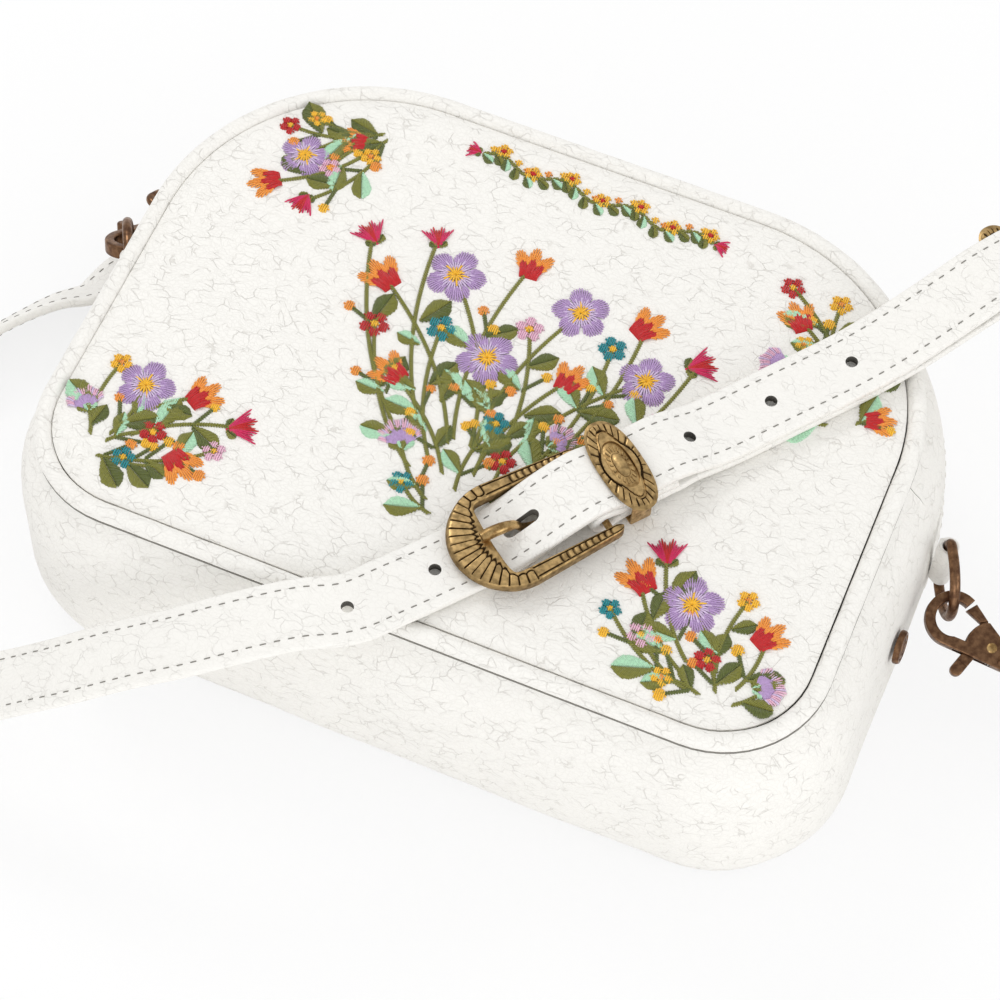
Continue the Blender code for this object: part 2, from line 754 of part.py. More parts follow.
def ring_hang(side):
    """The point of a ring's wire that its hook hangs on."""
    angle = RIGHT_HANG_ANGLE if side > 0 else LEFT_HANG_ANGLE
    bend = ring_bend()
    spot = Vector((RING_REACH - bend + bend * math.cos(angle), 0, 0))
    return ring_matrix(side) @ spot + Vector((0, 0, bend * math.sin(angle)))


def clasp_matrix(side):
    """The middle of a hook's round, X toward the swivel and Z out of its flat face."""
    axis = RIGHT_CLASP_AXIS if side > 0 else LEFT_CLASP_AXIS
    face = RIGHT_CLASP_FACE if side > 0 else LEFT_CLASP_FACE
    ring_place = RIGHT_RING_PLACE if side > 0 else LEFT_RING_PLACE
    turned = axes(Vector((0, 0, 0)), axis, face)
    return Matrix.Translation(ring_hang(side) - turned @ ring_place) @ turned


def hook_outline():
    """The hook's round, from its mouth back to the tapered body that holds the gate."""
    outer = HOOK_INNER + HOOK_WIRE
    flank = math.radians(288)
    points = arc((0, 0), outer, HOOK_MOUTH_ANGLE, flank, 18)
    points += [(BODY_TAIL, -BODY_TAIL_HALF), (BODY_TAIL, BODY_TAIL_HALF)]
    points += [(BODY_SHOULDER, BODY_SHOULDER_HALF)]
    sweep = GATE_SWEEP - GAP
    points += arc((PIVOT_PLACE, PIVOT_RISE), sweep, math.radians(140), math.radians(205), 6)
    points += arc((0, 0), HOOK_INNER, math.radians(310), HOOK_MOUTH_ANGLE, 16)
    return points


def hook_body(word, frame):
    body = meshed(plate(word + "_hook_body", [hook_outline()], HOOK_THICKNESS, copper(), parent=frame))
    barrel = rod(word + "_barrel", BARREL_RADIUS, BARREL_START, BARREL_END, copper(), frame, along_x())
    unite(body, barrel)
    length = SLOT_END - SLOT_START
    size = (length, (ARM_HIGH + OVERRUN) * 2, SLOT_WIDTH)
    middle = Matrix.Translation(((SLOT_START + SLOT_END) / 2, 0, 0))
    cut(body, block(word + "_slot", size, None, middle, frame))
    bore = rod(word + "_swivel_bore", POST_BORE, BARREL_END - POST_DEPTH - GAP, BARREL_END + OVERRUN, None,
               frame, along_x())
    cut(body, bore)
    pivot = Matrix.Translation((PIVOT_PLACE, PIVOT_RISE, 0))
    half = HOOK_THICKNESS / 2 + OVERRUN
    cut(body, rod(word + "_pin_bore", PIN_RADIUS + GAP, -half, half, None, frame, pivot))
    return body


def hook_gate(word, frame):
    """The gate: an arm that shuts the mouth, a tongue in the slot and a thumb lever."""
    pivot = Matrix.Translation((PIVOT_PLACE, PIVOT_RISE, 0))
    high = math.radians(135)
    low = math.radians(152)
    reach = GATE_SWEEP
    upper = (reach * math.cos(high), reach * math.sin(high))
    lower = (reach * math.cos(low), reach * math.sin(low))
    tip_high = (ARM_TIP_HIGH - PIVOT_PLACE, ARM_HIGH - PIVOT_RISE)
    tip_low = (ARM_TIP_LOW - PIVOT_PLACE, ARM_LOW - PIVOT_RISE)
    lever = LEVER_PLACE - PIVOT_PLACE
    half = LEVER_WIDTH / 2
    end = half - LEVER_TIP - PIVOT_RISE
    outline = [tip_low, lower, (lever - half, -PIVOT_RADIUS)]
    outline += arc((lever, end), half, math.pi, math.pi * 2, 6)
    outline += [(lever + half, -PIVOT_RADIUS * 1.3)]
    outline += arc((0, 0), PIVOT_RADIUS, -math.pi / 2, math.pi / 2, 6)
    outline += [upper, tip_high]
    gate = meshed(plate(word + "_hook_gate", [outline], TONGUE_THICKNESS, copper(), pivot, frame))
    arm = meshed(plate(word + "_gate_arm", [[tip_low, lower, upper, tip_high]], GATE_THICKNESS, copper(),
                       pivot, frame))
    start = -LEVER_PAD_START - PIVOT_RISE
    pad = [(lever - half, start)] + arc((lever, end), half, math.pi, math.pi * 2, 6) + [(lever + half, start)]
    thumb = meshed(plate(word + "_gate_thumb", [pad], GATE_THICKNESS, copper(), pivot, frame))
    unite(gate, arm)
    unite(gate, thumb)
    bore = rod(word + "_gate_bore", PIN_RADIUS + GAP, -GATE_THICKNESS, GATE_THICKNESS, None, frame, pivot)
    cut(gate, bore)
    reach = HOOK_THICKNESS / 2 + PIN_PROUD
    rod(word + "_gate_pin", PIN_RADIUS, -reach, reach, copper(), frame, pivot, 12)


def gate_spring(word, frame):
    """The small coil that holds the gate shut, in the slot behind the lever."""
    per_turn = 8
    points = []
    for step in range(SPRING_TURNS * per_turn + 1):
        angle = math.pi * 2 * step / per_turn
        along = SPRING_PLACE + SPRING_PITCH * step / per_turn
        points.append((along, SPRING_RADIUS * math.cos(angle) - SPRING_DROP, SPRING_RADIUS * math.sin(angle)))
    tube(word + "_gate_spring", points, SPRING_WIRE, steel(), resolution=1, parent=frame)


def eye_matrix(side, frame_matrix):
    """At the swivel's end of a hook, X on its axis and Y along the bar that holds the strap."""
    axis = frame_matrix.to_3x3() @ Vector((1, 0, 0))
    bar = eye_bar_direction(side)
    face = axis.cross(bar)
    return axes(frame_matrix.translation, axis, face)


def eye_bar(side):
    return clasp_matrix(side) @ Vector((EYE_BAR_PLACE, 0, 0))


def eye_bar_direction(side):
    """The strap's width at its eye, square to the clasp's axis and to the strap's way out."""
    axis = (RIGHT_CLASP_AXIS if side > 0 else LEFT_CLASP_AXIS).normalized()
    if side > 0:
        width = Vector((0, 0, 1))
        return (width - axis * width.dot(axis)).normalized()
    leaving = loop_point(LEFT_LOOP_SHARES[0][0]) - eye_bar(side)
    return leaving.cross(axis).normalized()


def left_eye_tilt():
    """The long strap's tilt at its eye, where its width lies along the eye's bar."""
    heading = (loop_point(LEFT_LOOP_SHARES[0][0]) - eye_bar(-1)).normalized()
    side = Vector((0, 0, 1)).cross(heading).normalized()
    bar = eye_bar_direction(-1)
    return math.degrees(math.atan2(bar.dot(heading.cross(side)), bar.dot(side)))


def swivel_eye(word, side, frame_matrix):
    """A rectangular wire loop on a post that turns in the hook's barrel."""
    matrix = eye_matrix(side, frame_matrix)
    half = EYE_INSIDE / 2 + EYE_WIRE
    near = BARREL_END + GAP * 2 + EYE_WIRE
    far = EYE_BAR_PLACE
    turn = EYE_CORNER
    outline = arc((near + turn, turn - half), turn, math.pi * 1.5, math.pi, 3)
    outline += arc((near + turn, half - turn), turn, math.pi, math.pi / 2, 3)
    outline += arc((far - turn, half - turn), turn, math.pi / 2, 0, 3)
    outline += arc((far - turn, turn - half), turn, 0, -math.pi / 2, 3)
    points = [(x, y, 0) for x, y in outline]
    eye = meshed(tube(word + "_swivel_eye", points, EYE_WIRE, copper(), cyclic=True, matrix=matrix))
    hub = rod(word + "_eye_hub", HUB_RADIUS, BARREL_END + GAP, BARREL_END + GAP + HUB_LENGTH, None,
              matrix=matrix @ along_x())
    post = rod(word + "_eye_post", POST_RADIUS, BARREL_END - POST_DEPTH, BARREL_END + HUB_LENGTH / 2, None,
               matrix=matrix @ along_x())
    unite(eye, hub)
    unite(eye, post)
    return eye


def clasp(side, word):
    matrix = clasp_matrix(side)
    frame = bpy.data.objects.new(word + "_clasp", None)
    collection("mini_bag").objects.link(frame)
    frame.matrix_world = matrix
    hook_body(word, frame)
    hook_gate(word, frame)
    gate_spring(word, frame)
    swivel_eye(word, side, matrix)


def crossing(along, side=0.0, height=0.0):
    """A point of the strap's run across the front."""
    forward = Vector((math.cos(CROSSING_HEADING), math.sin(CROSSING_HEADING), 0))
    left = Vector((-forward.y, forward.x, 0))
    start = Vector((CROSSING_X, CROSSING_Y, height))
    return start + forward * along + left * side


def rest_height():
    """The middle of a strap that lies on the front."""
    return BODY_DEPTH + STRAP_REST + STRAP_THICKNESS / 2


def loop_point(shares):
    x, y, z = shares
    return Vector((x * BODY_WIDTH / 2, y * BODY_HEIGHT / 2, z * BODY_DEPTH))


def smooth_route(knots):
    """Samples of a smooth curve through (point, tilt) knots, as (point, tilt) pairs."""
    samples = []
    padded = [knots[0]] + knots + [knots[-1]]
    for index in range(1, len(padded) - 2):
        (p0, t0), (p1, t1), (p2, t2), (p3, t3) = padded[index - 1:index + 3]
        length = (p2 - p1).length
        steps = max(1, round(length / ROUTE_STEP))
        before = max((p1 - p0).length, length / 2)
        after = max((p3 - p2).length, length / 2)
        leaving = (p2 - p0) * (length / (length + before))
        arriving = (p3 - p1) * (length / (length + after))
        for step in range(steps):
            u = step / steps
            a = 2 * u ** 3 - 3 * u ** 2 + 1
            b = u ** 3 - 2 * u ** 2 + u
            c = 3 * u ** 2 - 2 * u ** 3
            d = u ** 3 - u ** 2
            samples.append((p1 * a + leaving * b + p2 * c + arriving * d, t1 + (t2 - t1) * u))
    samples.append(knots[-1])
    return samples


def with_frames(samples):
    """Adds to each sample its heading and the strap's width direction."""
    framed = []
    for index, (point, tilt) in enumerate(samples):
        before = samples[max(index - 1, 0)][0]
        after = samples[min(index + 1, len(samples) - 1)][0]
        heading = (after - before).normalized()
        side = Vector((0, 0, 1)).cross(heading).normalized()
        rise = heading.cross(side)
        angle = math.radians(tilt)
        framed.append((point, heading, side * math.cos(angle) + rise * math.sin(angle)))
    return framed


def ply_offset(distance, radius):
    """How far each ply of a fold lies from the middle of the pair, away from the bar."""
    near = (STRAP_THICKNESS + GAP) / 2
    share = min(distance / FOLD_TAPER, 1)
    eased = share * share * (3 - 2 * share)
    return radius + (near - radius) * eased


def folded(framed, length, radius, upper):
    """A strap that comes back round a bar at the route's start: the short ply, the turn, the long ply.

    upper is +1 where the long ply lies on the strap's outer face, -1 where it lies under it.
    """
    distances = [0.0]
    for (before, _, _), (after, _, _) in zip(framed, framed[1:]):
        distances.append(distances[-1] + (after - before).length)
    short, long = [], []
    for (point, heading, width), distance in zip(framed, distances):
        out = heading.cross(width) * upper
        offset = ply_offset(distance, radius)
        if distance <= length:
            short.append((point - out * offset, width))
        ending = min(max((distance - length) / FOLD_TAPER, 0), 1)
        eased = ending * ending * (3 - 2 * ending)
        long.append((point + out * offset * (1 - eased), width))
    point, heading, width = framed[0]
    out = heading.cross(width) * upper
    turn = []
    for step in range(1, FOLD_STEPS):
        angle = math.pi * step / FOLD_STEPS
        turn.append((point - out * radius * math.cos(angle) - heading * radius * math.sin(angle), width))
    return list(reversed(short)) + turn + long


def fine_start(samples, length):
    """Resamples the start of a route in small steps, for a fold."""
    result = []
    travelled = 0.0
    for (point, tilt), (after, after_tilt) in zip(samples, samples[1:]):
        span = (after - point).length
        steps = 1
        if travelled < length + FOLD_TAPER:
            steps = max(1, round(span / FOLD_STEP))
        for step in range(steps):
            share = step / steps
            result.append((point.lerp(after, share), tilt + (after_tilt - tilt) * share))
        travelled += span
    result.append(samples[-1])
    return result


def strap(name, centres, tip):
    """A flat strap through (point, width direction) pairs, with a rounded tip if it has one."""
    def half_width(row):
        left = (centres[-1][0] - centres[row][0]).length
        if not tip or left > TIP_TAPER:
            return STRAP_WIDTH / 2
        share = 1 - left / TIP_TAPER
        return STRAP_WIDTH / 2 * max(math.sqrt(1 - share ** 2), 0.25)

    def place(row, column):
        point, width = centres[row]
        return point + width * half_width(row) * (column * 2 - 1)
    return sheet(name, len(centres), 2, place, STRAP_THICKNESS, leather())


def run_knots(table):
    """The part of a strap's route across the front, from its table of rises."""
    knots = []
    for along, rise, drift in table:
        height = rest_height() + rise * STRAP_THICKNESS
        knots.append((crossing(along * TIP_REACH, drift * STRAP_WIDTH, height), 0))
    return knots


def eye_fold_radius():
    return EYE_WIRE + GAP * 2 + STRAP_THICKNESS / 2


def long_strap():
    """From the left clasp, round a loop on the floor, across the front and out past the buckle."""
    knots = [(eye_bar(-1), left_eye_tilt())]
    knots += [(loop_point(shares), tilt) for shares, tilt in LEFT_LOOP_SHARES]
    knots += run_knots(LONG_RISE_SHARES)
    samples = fine_start(smooth_route(knots), LONG_EYE_FOLD)
    centres = folded(with_frames(samples), LONG_EYE_FOLD, eye_fold_radius(), 1)
    obj = strap("long_strap", centres, True)
    reach = STRAP_THICKNESS * 6
    for index in range(HOLE_COUNT):
        along = (index - HOLE_COUNT // 2 - 1) * HOLE_PITCH
        place = Matrix.Translation(crossing(along, 0, rest_height()))
        if abs(along - PRONG_HOLE_AT) > HOLE_PITCH / 2:
            cut(obj, rod("hole_%d" % index, HOLE_RADIUS, -reach, reach, None, matrix=place))
    turn = Matrix.Rotation(CROSSING_HEADING, 4, "Z")
    place = Matrix.Translation(crossing(PRONG_HOLE_AT + PRONG_HOLE_LEAD, 0, rest_height())) @ turn
    cut(obj, block("prong_hole", (PRONG_HOLE, HOLE_RADIUS * 2, reach * 2), None, place))
    return obj


def bar_height():
    """The buckle's bar stands one fold above the strap's rest."""
    return rest_height() + buckle_fold_radius() - GAP


def buckle_fold_radius():
    return STRAP_THICKNESS + GAP


def buckle_strap():
    """From the buckle's bar under the long strap, off the bag's corner and round to the right clasp."""
    lead = clasp_matrix(1) @ Vector((EYE_BAR_PLACE + EYE_LEAD, 0, 0))
    knots = [(crossing(BUCKLE_BAR_AT, 0, bar_height()), 0)] + run_knots(SHORT_RISE_SHARES)
    knots += [(loop_point(shares), tilt) for shares, tilt in RIGHT_LOOP_SHARES]
    knots += [(lead, -90), (eye_bar(1), -90)]
    backward = fine_start(list(reversed(smooth_route(knots))), SHORT_EYE_FOLD)
    samples = fine_start(list(reversed(backward)), BUCKLE_FOLD)
    start = folded(with_frames(samples), BUCKLE_FOLD, buckle_fold_radius(), -1)
    mirrored = [(point, -tilt) for point, tilt in reversed(samples)]
    end = folded(with_frames(mirrored), SHORT_EYE_FOLD, eye_fold_radius(), 1)
    half = len(samples) // 2
    centres = start[:-half] + [(point, -width) for point, width in reversed(end)][len(samples) - half:]
    obj = strap("buckle_strap", centres, False)
    turn = Matrix.Rotation(CROSSING_HEADING, 4, "Z")
    place = Matrix.Translation(crossing(BUCKLE_BAR_AT, BUCKLE_SIDE, bar_height())) @ turn
    slot = (STRAP_THICKNESS * 4, PRONG_SLOT, STRAP_THICKNESS * 4)
    cut(obj, block("prong_slot", slot, None, place))
    return obj


def buckle_matrix():
    """On the buckle's bar, X along the strap's run and Z up."""
    spot = crossing(BUCKLE_BAR_AT, BUCKLE_SIDE, bar_height())
    return Matrix.Translation(spot) @ Matrix.Rotation(CROSSING_HEADING, 4, "Z")


def frame_outline():
    """A horseshoe with two tapering arms, from the tip of one arm to the tip of the other."""
    tip = ARM_TIP_AT - BUCKLE_BAR_AT
    lip = FRAME_LIP_AT - BUCKLE_BAR_AT
    end = FRAME_END_AT - BUCKLE_BAR_AT
    swell = end + FRAME_SWELL
    points = []
    for step in range(15):
        angle = math.pi / 2 + math.pi * step / 14
        points.append((swell + FRAME_SWELL * math.cos(angle), FRAME_HALF_WIDTH * math.sin(angle)))
    thick = (FRAME_TIP_HALF - FRAME_INNER_HALF) / 2
    middle = FRAME_TIP_HALF - thick
    points += arc((tip - thick, -middle), thick, -math.pi / 2, math.pi / 2, 4)
    points += arc((lip + FRAME_CORNER, FRAME_CORNER - FRAME_INNER_HALF), FRAME_CORNER, -math.pi / 2,
                  -math.pi, 3)
    points += arc((lip + FRAME_CORNER, FRAME_INNER_HALF - FRAME_CORNER), FRAME_CORNER, math.pi,
                  math.pi / 2, 3)
    points += arc((tip - thick, middle), thick, -math.pi / 2, math.pi / 2, 4)
    return points


def frame_rise():
    """The middle of the frame's thickness above the bar."""
    under = rest_height() + STRAP_THICKNESS / 2 + GAP
    return under + FRAME_THICKNESS / 2 - bar_height()


def buckle():
    """The horseshoe frame, the bar between its arms and the prong on the bar."""
    matrix = buckle_matrix()
    lift = Matrix.Translation((0, 0, frame_rise()))
    frame = meshed(plate("buckle_frame", [frame_outline()], FRAME_THICKNESS, brass(), matrix @ lift))
    frame.data.transform(lift)
    frame.matrix_local = matrix
    reach = FRAME_INNER_HALF + BAR_SEAT
    across = Matrix.Rotation(-math.pi / 2, 4, "X")
    rod("buckle_bar", BAR_RADIUS, -reach, reach, brass(), matrix=matrix @ across, steps=12)
    reach += GAP
    cut(frame, rod("bar_seat", BAR_RADIUS + GAP, -reach, reach, None, matrix=matrix @ across))
    prong(matrix, across)


def prong(matrix, across):
    """From its eye on the bar, under the strap, up through the hole and onto the frame."""
    inner = BAR_RADIUS + GAP
    outer = inner + PRONG_EYE_WALL
    ring = arc((0, 0), outer, 0, math.pi * 2 * 15 / 16, 15)
    hole = arc((0, 0), inner, 0, math.pi * 2 * 15 / 16, 15)
    eye = meshed(plate("buckle_prong", [ring, hole], PRONG_EYE_WIDTH, brass(), matrix @ across))
    hole_at = PRONG_HOLE_AT - BUCKLE_BAR_AT
    lip = FRAME_LIP_AT - BUCKLE_BAR_AT
    top = frame_rise() + FRAME_THICKNESS / 2 + GAP + PRONG_TIP_RADIUS
    low = PRONG_RADIUS - (bar_height() - BODY_DEPTH) + GAP * 3
    middle = (inner + outer) / 2
    side = -BUCKLE_SIDE
    points = [(-middle, 0, 0), (-outer - PRONG_RADIUS * 2, 0, low / 2), (hole_at / 2, 0, low),
              (hole_at * 0.80, side * 0.7, low * 0.9), (hole_at + PRONG_RADIUS, side, -PRONG_RADIUS * 0.4),
              (hole_at - PRONG_RADIUS, side, top * 0.62), (lip + PRONG_RADIUS, side, top),
              (lip - PRONG_RADIUS * 2, side, top)]
    swells = [1, 1, 1, 1, 1, 1, PRONG_TIP_RADIUS / PRONG_RADIUS, PRONG_TIP_RADIUS / PRONG_RADIUS]
    finger = meshed(tube("prong_finger", points, PRONG_RADIUS, brass(), swells=swells, matrix=matrix))
    unite(eye, finger)


def keeper(name, along, side, bottom, stack):
    """A metal loop round the plies with an oval plate on it."""
    place = Matrix.Translation(crossing(along, side, bottom)) @ Matrix.Rotation(CROSSING_HEADING, 4, "Z")
    stand = Matrix(((0, 0, 1, 0), (1, 0, 0, 0), (0, 1, 0, 0), (0, 0, 0, 1)))
    half = KEEPER_INSIDE / 2
    wall = KEEPER_WALL
    outer = [(-half - wall, -wall), (half + wall, -wall), (half + wall, stack + wall),
             (-half - wall, stack + wall)]
    inner = [(-half, 0), (half, 0), (half, stack), (-half, stack)]
    loop = meshed(plate(name, [outer, inner], KEEPER_BAND, brass(), place @ stand))
    oval = []
    for step in range(24):
        angle = math.pi * 2 * step / 24
        oval.append((KEEPER_WIDTH / 2 * math.cos(angle), KEEPER_LENGTH / 2 * math.sin(angle)))
    lift = Matrix.Translation((0, 0, stack + KEEPER_PLATE / 2 + GAP))
    face = meshed(plate(name + "_face", [oval], KEEPER_PLATE, brass(), place @ lift))
    unite(loop, face)
    loop.data.transform(stand)
    loop.matrix_local = place
    return loop


def keepers():
    under = BODY_DEPTH + STRAP_REST + KEEPER_WALL
    keeper("keeper_inner", KEEPER_INNER_AT, KEEPER_INNER_SIDE, under, INNER_STACK)
    rise = SHORT_RISE_SHARES[-1][1] * STRAP_THICKNESS
    under = rest_height() + rise - OUTER_STACK / 2
    keeper("keeper_outer", KEEPER_OUTER_AT, KEEPER_OUTER_SIDE, under, OUTER_STACK)


def main():
    for obj in list(bpy.data.objects):
        bpy.data.objects.remove(obj)
    collection("mini_bag")
    collection("cutters")
    gusset = shell()
    zip_strips()
    zip_stops()
    zip_slider()
    linings()
    for side, word in ((1, "right"), (-1, "left")):
        side_ring(side, word + "_d_ring")
        ring_tab(side, word + "_ring_tab")
        side_stud(side, word, gusset)
        clasp(side, word)
    long_strap()
    buckle_strap()
    buckle()
    keepers()


main()
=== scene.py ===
"""The looks of a small white leather camera bag with an embroidered front and a buckled strap.

Metres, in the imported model's frame: +Z out of the front, +Y to the zip, +X to the bag's right side.
"""

import json
import math
import random

import bmesh
import bpy
from bpy.props import FloatProperty, FloatVectorProperty, PointerProperty
from mathutils import Matrix, Vector, noise


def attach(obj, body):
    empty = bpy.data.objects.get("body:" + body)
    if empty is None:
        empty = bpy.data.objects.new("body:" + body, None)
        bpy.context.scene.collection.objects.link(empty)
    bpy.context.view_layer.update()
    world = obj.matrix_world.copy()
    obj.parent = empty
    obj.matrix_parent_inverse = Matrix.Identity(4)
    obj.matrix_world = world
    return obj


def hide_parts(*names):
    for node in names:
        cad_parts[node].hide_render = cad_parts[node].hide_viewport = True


bl_info = {
    "name": "Mini Camera Bag",
    "version": (1, 0, 0),
    "blender": (4, 5, 0),
    "location": "View3D > Sidebar > Mini Bag",
    "description": "Dresses a small camera bag in crackled leather, brass and embroidery",
    "category": "Object",
}

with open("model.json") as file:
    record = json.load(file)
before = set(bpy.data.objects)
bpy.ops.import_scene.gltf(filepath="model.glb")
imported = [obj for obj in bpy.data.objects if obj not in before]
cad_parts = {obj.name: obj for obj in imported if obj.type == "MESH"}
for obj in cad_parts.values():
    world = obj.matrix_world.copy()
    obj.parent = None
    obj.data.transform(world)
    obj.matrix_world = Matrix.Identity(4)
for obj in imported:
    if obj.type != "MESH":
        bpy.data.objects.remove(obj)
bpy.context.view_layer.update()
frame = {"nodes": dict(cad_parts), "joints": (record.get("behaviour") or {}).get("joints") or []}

MM = 0.001
GAP = 0.0003

# Body
BODY_WIDTH = 0.212
BODY_HEIGHT = 0.150
BODY_DEPTH = 0.0725
BOTTOM_RADIUS = 0.025
TOP_RADIUS = 0.059
BACK_SPREAD = 0.003
LEAN = 0.0046
BULGE = 0.0082
PANEL_THICKNESS = 0.0022
PANEL_SETTLE = 0.0012
PANEL_EDGE = 0.0042
PANEL_SWAY = 0.00022
PANEL_SWAY_SIZE = 0.030
GUSSET_THICKNESS = 0.0020
GUSSET_SWAY = 0.0009
GUSSET_SWAY_SIZE = 0.034
GUSSET_ROW_STEP = 0.0022
GUSSET_TUCK = 0.0014
# The grey thread in the crease under the front piping is painted shade: a dark line laid where the crease's
# shadow falls. These set its radius, how far out it lies and how far down.
SEAM_SHADE_RADIUS = 0.00024
SEAM_SHADE_OUT = 0.0022
SEAM_SHADE_DROP = 0.0019
GUSSET_TUCK_HEIGHT = 0.0016
PIPING_RADIUS = 0.0024
PIPING_PINCH = 0.035
PIPING_PINCH_SIZE = 0.007
LINING_THICKNESS = 0.0006
LINING_INSET = 0.0030
STATION_STEP = 0.0030
# The gusset's swelling past the straight line between the two pipings, from the back to the front
GUSSET_SHARES = [
    (0.0, 0.10), (0.03, 0.10), (0.07, 0.52), (0.14, 0.83), (0.27, 0.96), (0.45, 1.0),
    (0.62, 0.97), (0.77, 0.82), (0.88, 0.54), (0.965, 0.06), (1.0, 0.06),
]
# Rings of the front panel, from its edge to its middle
PANEL_SHARES = [
    1, 0.992, 0.982, 0.968, 0.95, 0.92, 0.88, 0.83, 0.77, 0.7, 0.62, 0.54, 0.45, 0.36, 0.27, 0.18, 0.09,
    0.02,
]
POCKET_WIDTH = 0.110
POCKET_HEIGHT = 0.070
POCKET_DROP = 0.008

# Zip
ZIP_WINDOW = 0.010
ZIP_STITCH_IN = 0.0022
TAPE_WIDTH = 0.012
TAPE_THICKNESS = 0.0008
TEETH_WIDTH = 0.0020
TEETH_DEPTH = 0.0020
TEETH_SPACING = 0.0016
TOOTH_PITCH = 0.0022
TOOTH_LENGTH = 0.0010
TOOTH_REACH = 0.0009
TOOTH_NOSE = 0.0004
ZIP_END_ANGLE = math.radians(20)
SLIDER_WIDTH = 0.0088
SLIDER_PLAY = 0.0006

# Side rings, tabs and studs
RING_WIRE = 0.0015
WIRE_FIT = 0.97
RING_INSIDE = 0.020
RING_REACH = 0.0154
RING_CORNER = 0.0020
RIGHT_RING_ANGLE = math.radians(-64)
LEFT_RING_ANGLE = math.radians(119)
TAB_LEATHER = 0.0010
TAB_WIDTH = 0.018
TAB_ROOT = 0.0026
STUD_RADIUS = 0.00475
STUD_HEIGHT = 0.0021
STUD_DROP = 0.030
STUD_SHARE = 0.47

# Clasps
HOOK_INNER = 0.0049
HOOK_WIRE = 0.0028
HOOK_THICKNESS = 0.0040
HOOK_MOUTH_ANGLE = math.radians(80)
BODY_SHOULDER = 0.0083
BODY_SHOULDER_HALF = 0.0054
BODY_TAIL = 0.0187
BODY_TAIL_HALF = 0.0027
BARREL_RADIUS = 0.0029
BARREL_START = 0.0158
BARREL_END = 0.0206
SLOT_WIDTH = 0.0022
SLOT_START = 0.0050
SLOT_END = 0.0155
PIVOT_PLACE = 0.0129
PIVOT_RISE = 0.0003
PIVOT_RADIUS = 0.0019
PIN_RADIUS = 0.0009
RIVET_RADIUS = 0.0014
RIVET_PROUD = 0.0004
GATE_SWEEP = 0.0074
GATE_THICKNESS = 0.0030
TONGUE_THICKNESS = 0.0016
ARM_LOW = 0.0040
ARM_HIGH = 0.0072
ARM_TIP_LOW = 0.0013
ARM_TIP_HIGH = 0.0024
LEVER_WIDTH = 0.0034
LEVER_PLACE = 0.0093
LEVER_TIP = 0.0120
LEVER_PAD_START = 0.0078
POST_RADIUS = 0.0012
POST_DEPTH = 0.0032
HUB_RADIUS = 0.0024
HUB_LENGTH = 0.0020
EYE_WIRE = 0.0013
EYE_INSIDE = 0.0212
EYE_BAR_PLACE = 0.0300
EYE_CORNER = 0.0024
EYE_LEAD = 0.0120
CAST_EDGE = 0.0005

# Straps
STRAP_WIDTH = 0.020
STRAP_THICKNESS = 0.0026
STRAP_REST = 0.0004
STRAP_EDGE = 0.0009
ROUTE_STEP = 0.0022
FOLD_TAPER = 0.0060
FOLD_STEPS = 12
HOLE_RADIUS = 0.0017
HOLE_PITCH = 0.0254
HOLE_COUNT = 7
PRONG_HOLE = 0.0100
PRONG_HOLE_LEAD = 0.0012
TIP_TAPER = 0.009
LONG_EYE_FOLD = 0.016
SHORT_EYE_FOLD = 0.034
BUCKLE_FOLD = 0.023

# The straight run across the front: where the fifth hole lies, and the heading
CROSSING_X = 0.0538
CROSSING_Y = -0.0019
CROSSING_HEADING = math.radians(52)
TIP_REACH = 0.115
BUCKLE_BAR_AT = -0.0310
BUCKLE_SIDE = -0.0010
FRAME_END_AT = -0.0715
FRAME_LIP_AT = -0.0600
ARM_TIP_AT = -0.0280
PRONG_HOLE_AT = -0.0520
KEEPER_INNER_AT = -0.0216
KEEPER_INNER_SIDE = -0.0005
KEEPER_OUTER_AT = 0.1053
KEEPER_OUTER_SIDE = 0.0030

# Buckle and keepers
FRAME_THICKNESS = 0.0034
FRAME_HALF_WIDTH = 0.0160
FRAME_TIP_HALF = 0.0140
FRAME_INNER_HALF = 0.0113
FRAME_SWELL = 0.0165
ARM_BLUNT = 0.0022
ARM_PATTERN_START = 0.003
ARM_PATTERN_END = 0.020
BAR_RADIUS = 0.0010
PRONG_RADIUS = 0.0011
PRONG_EYE_WIDTH = 0.0034
PRONG_EYE_WALL = 0.0011
PRONG_TIP_RADIUS = 0.0016
GROOVE_DEPTH = 0.00045
FRAME_GROOVES = 19
ARM_LINE_PITCH = 0.0019
KEEPER_LENGTH = 0.0290
KEEPER_WIDTH = 0.0125
KEEPER_PLATE = 0.0016
PLATE_FULLNESS = 2.4
KEEPER_BAND = 0.0060
KEEPER_WALL = 0.0010
KEEPER_INSIDE = 0.0216
INNER_STACK = 0.0096
OUTER_STACK = 0.0034

# Directions and places that follow from the sizes
UP = Vector((0, 0, 1))
STRAP_TURN = Matrix.Rotation(CROSSING_HEADING, 4, "Z")
SEAM_Y = BODY_HEIGHT / 2 - TOP_RADIUS
GUSSET_LOW = PIPING_RADIUS * 2 + GAP * 2
GUSSET_HIGH = BODY_DEPTH - PIPING_RADIUS * 2 - GAP
ZIP_MIDDLE = BODY_DEPTH / 2
TAPE_INSET = GUSSET_THICKNESS / 2 + GAP + TAPE_THICKNESS / 2
EYE_FOLD_RADIUS = EYE_WIRE + GAP * 2 + STRAP_THICKNESS / 2
BUCKLE_FOLD_RADIUS = STRAP_THICKNESS + GAP
# The middle of a strap that lies on the front, the buckle's bar one fold above it, and the middle of the
# frame's thickness above the bar
REST_HEIGHT = BODY_DEPTH + STRAP_REST + STRAP_THICKNESS / 2
BAR_HEIGHT = REST_HEIGHT + BUCKLE_FOLD_RADIUS - GAP
FRAME_RISE = REST_HEIGHT + STRAP_THICKNESS / 2 + GAP + FRAME_THICKNESS / 2 - BAR_HEIGHT

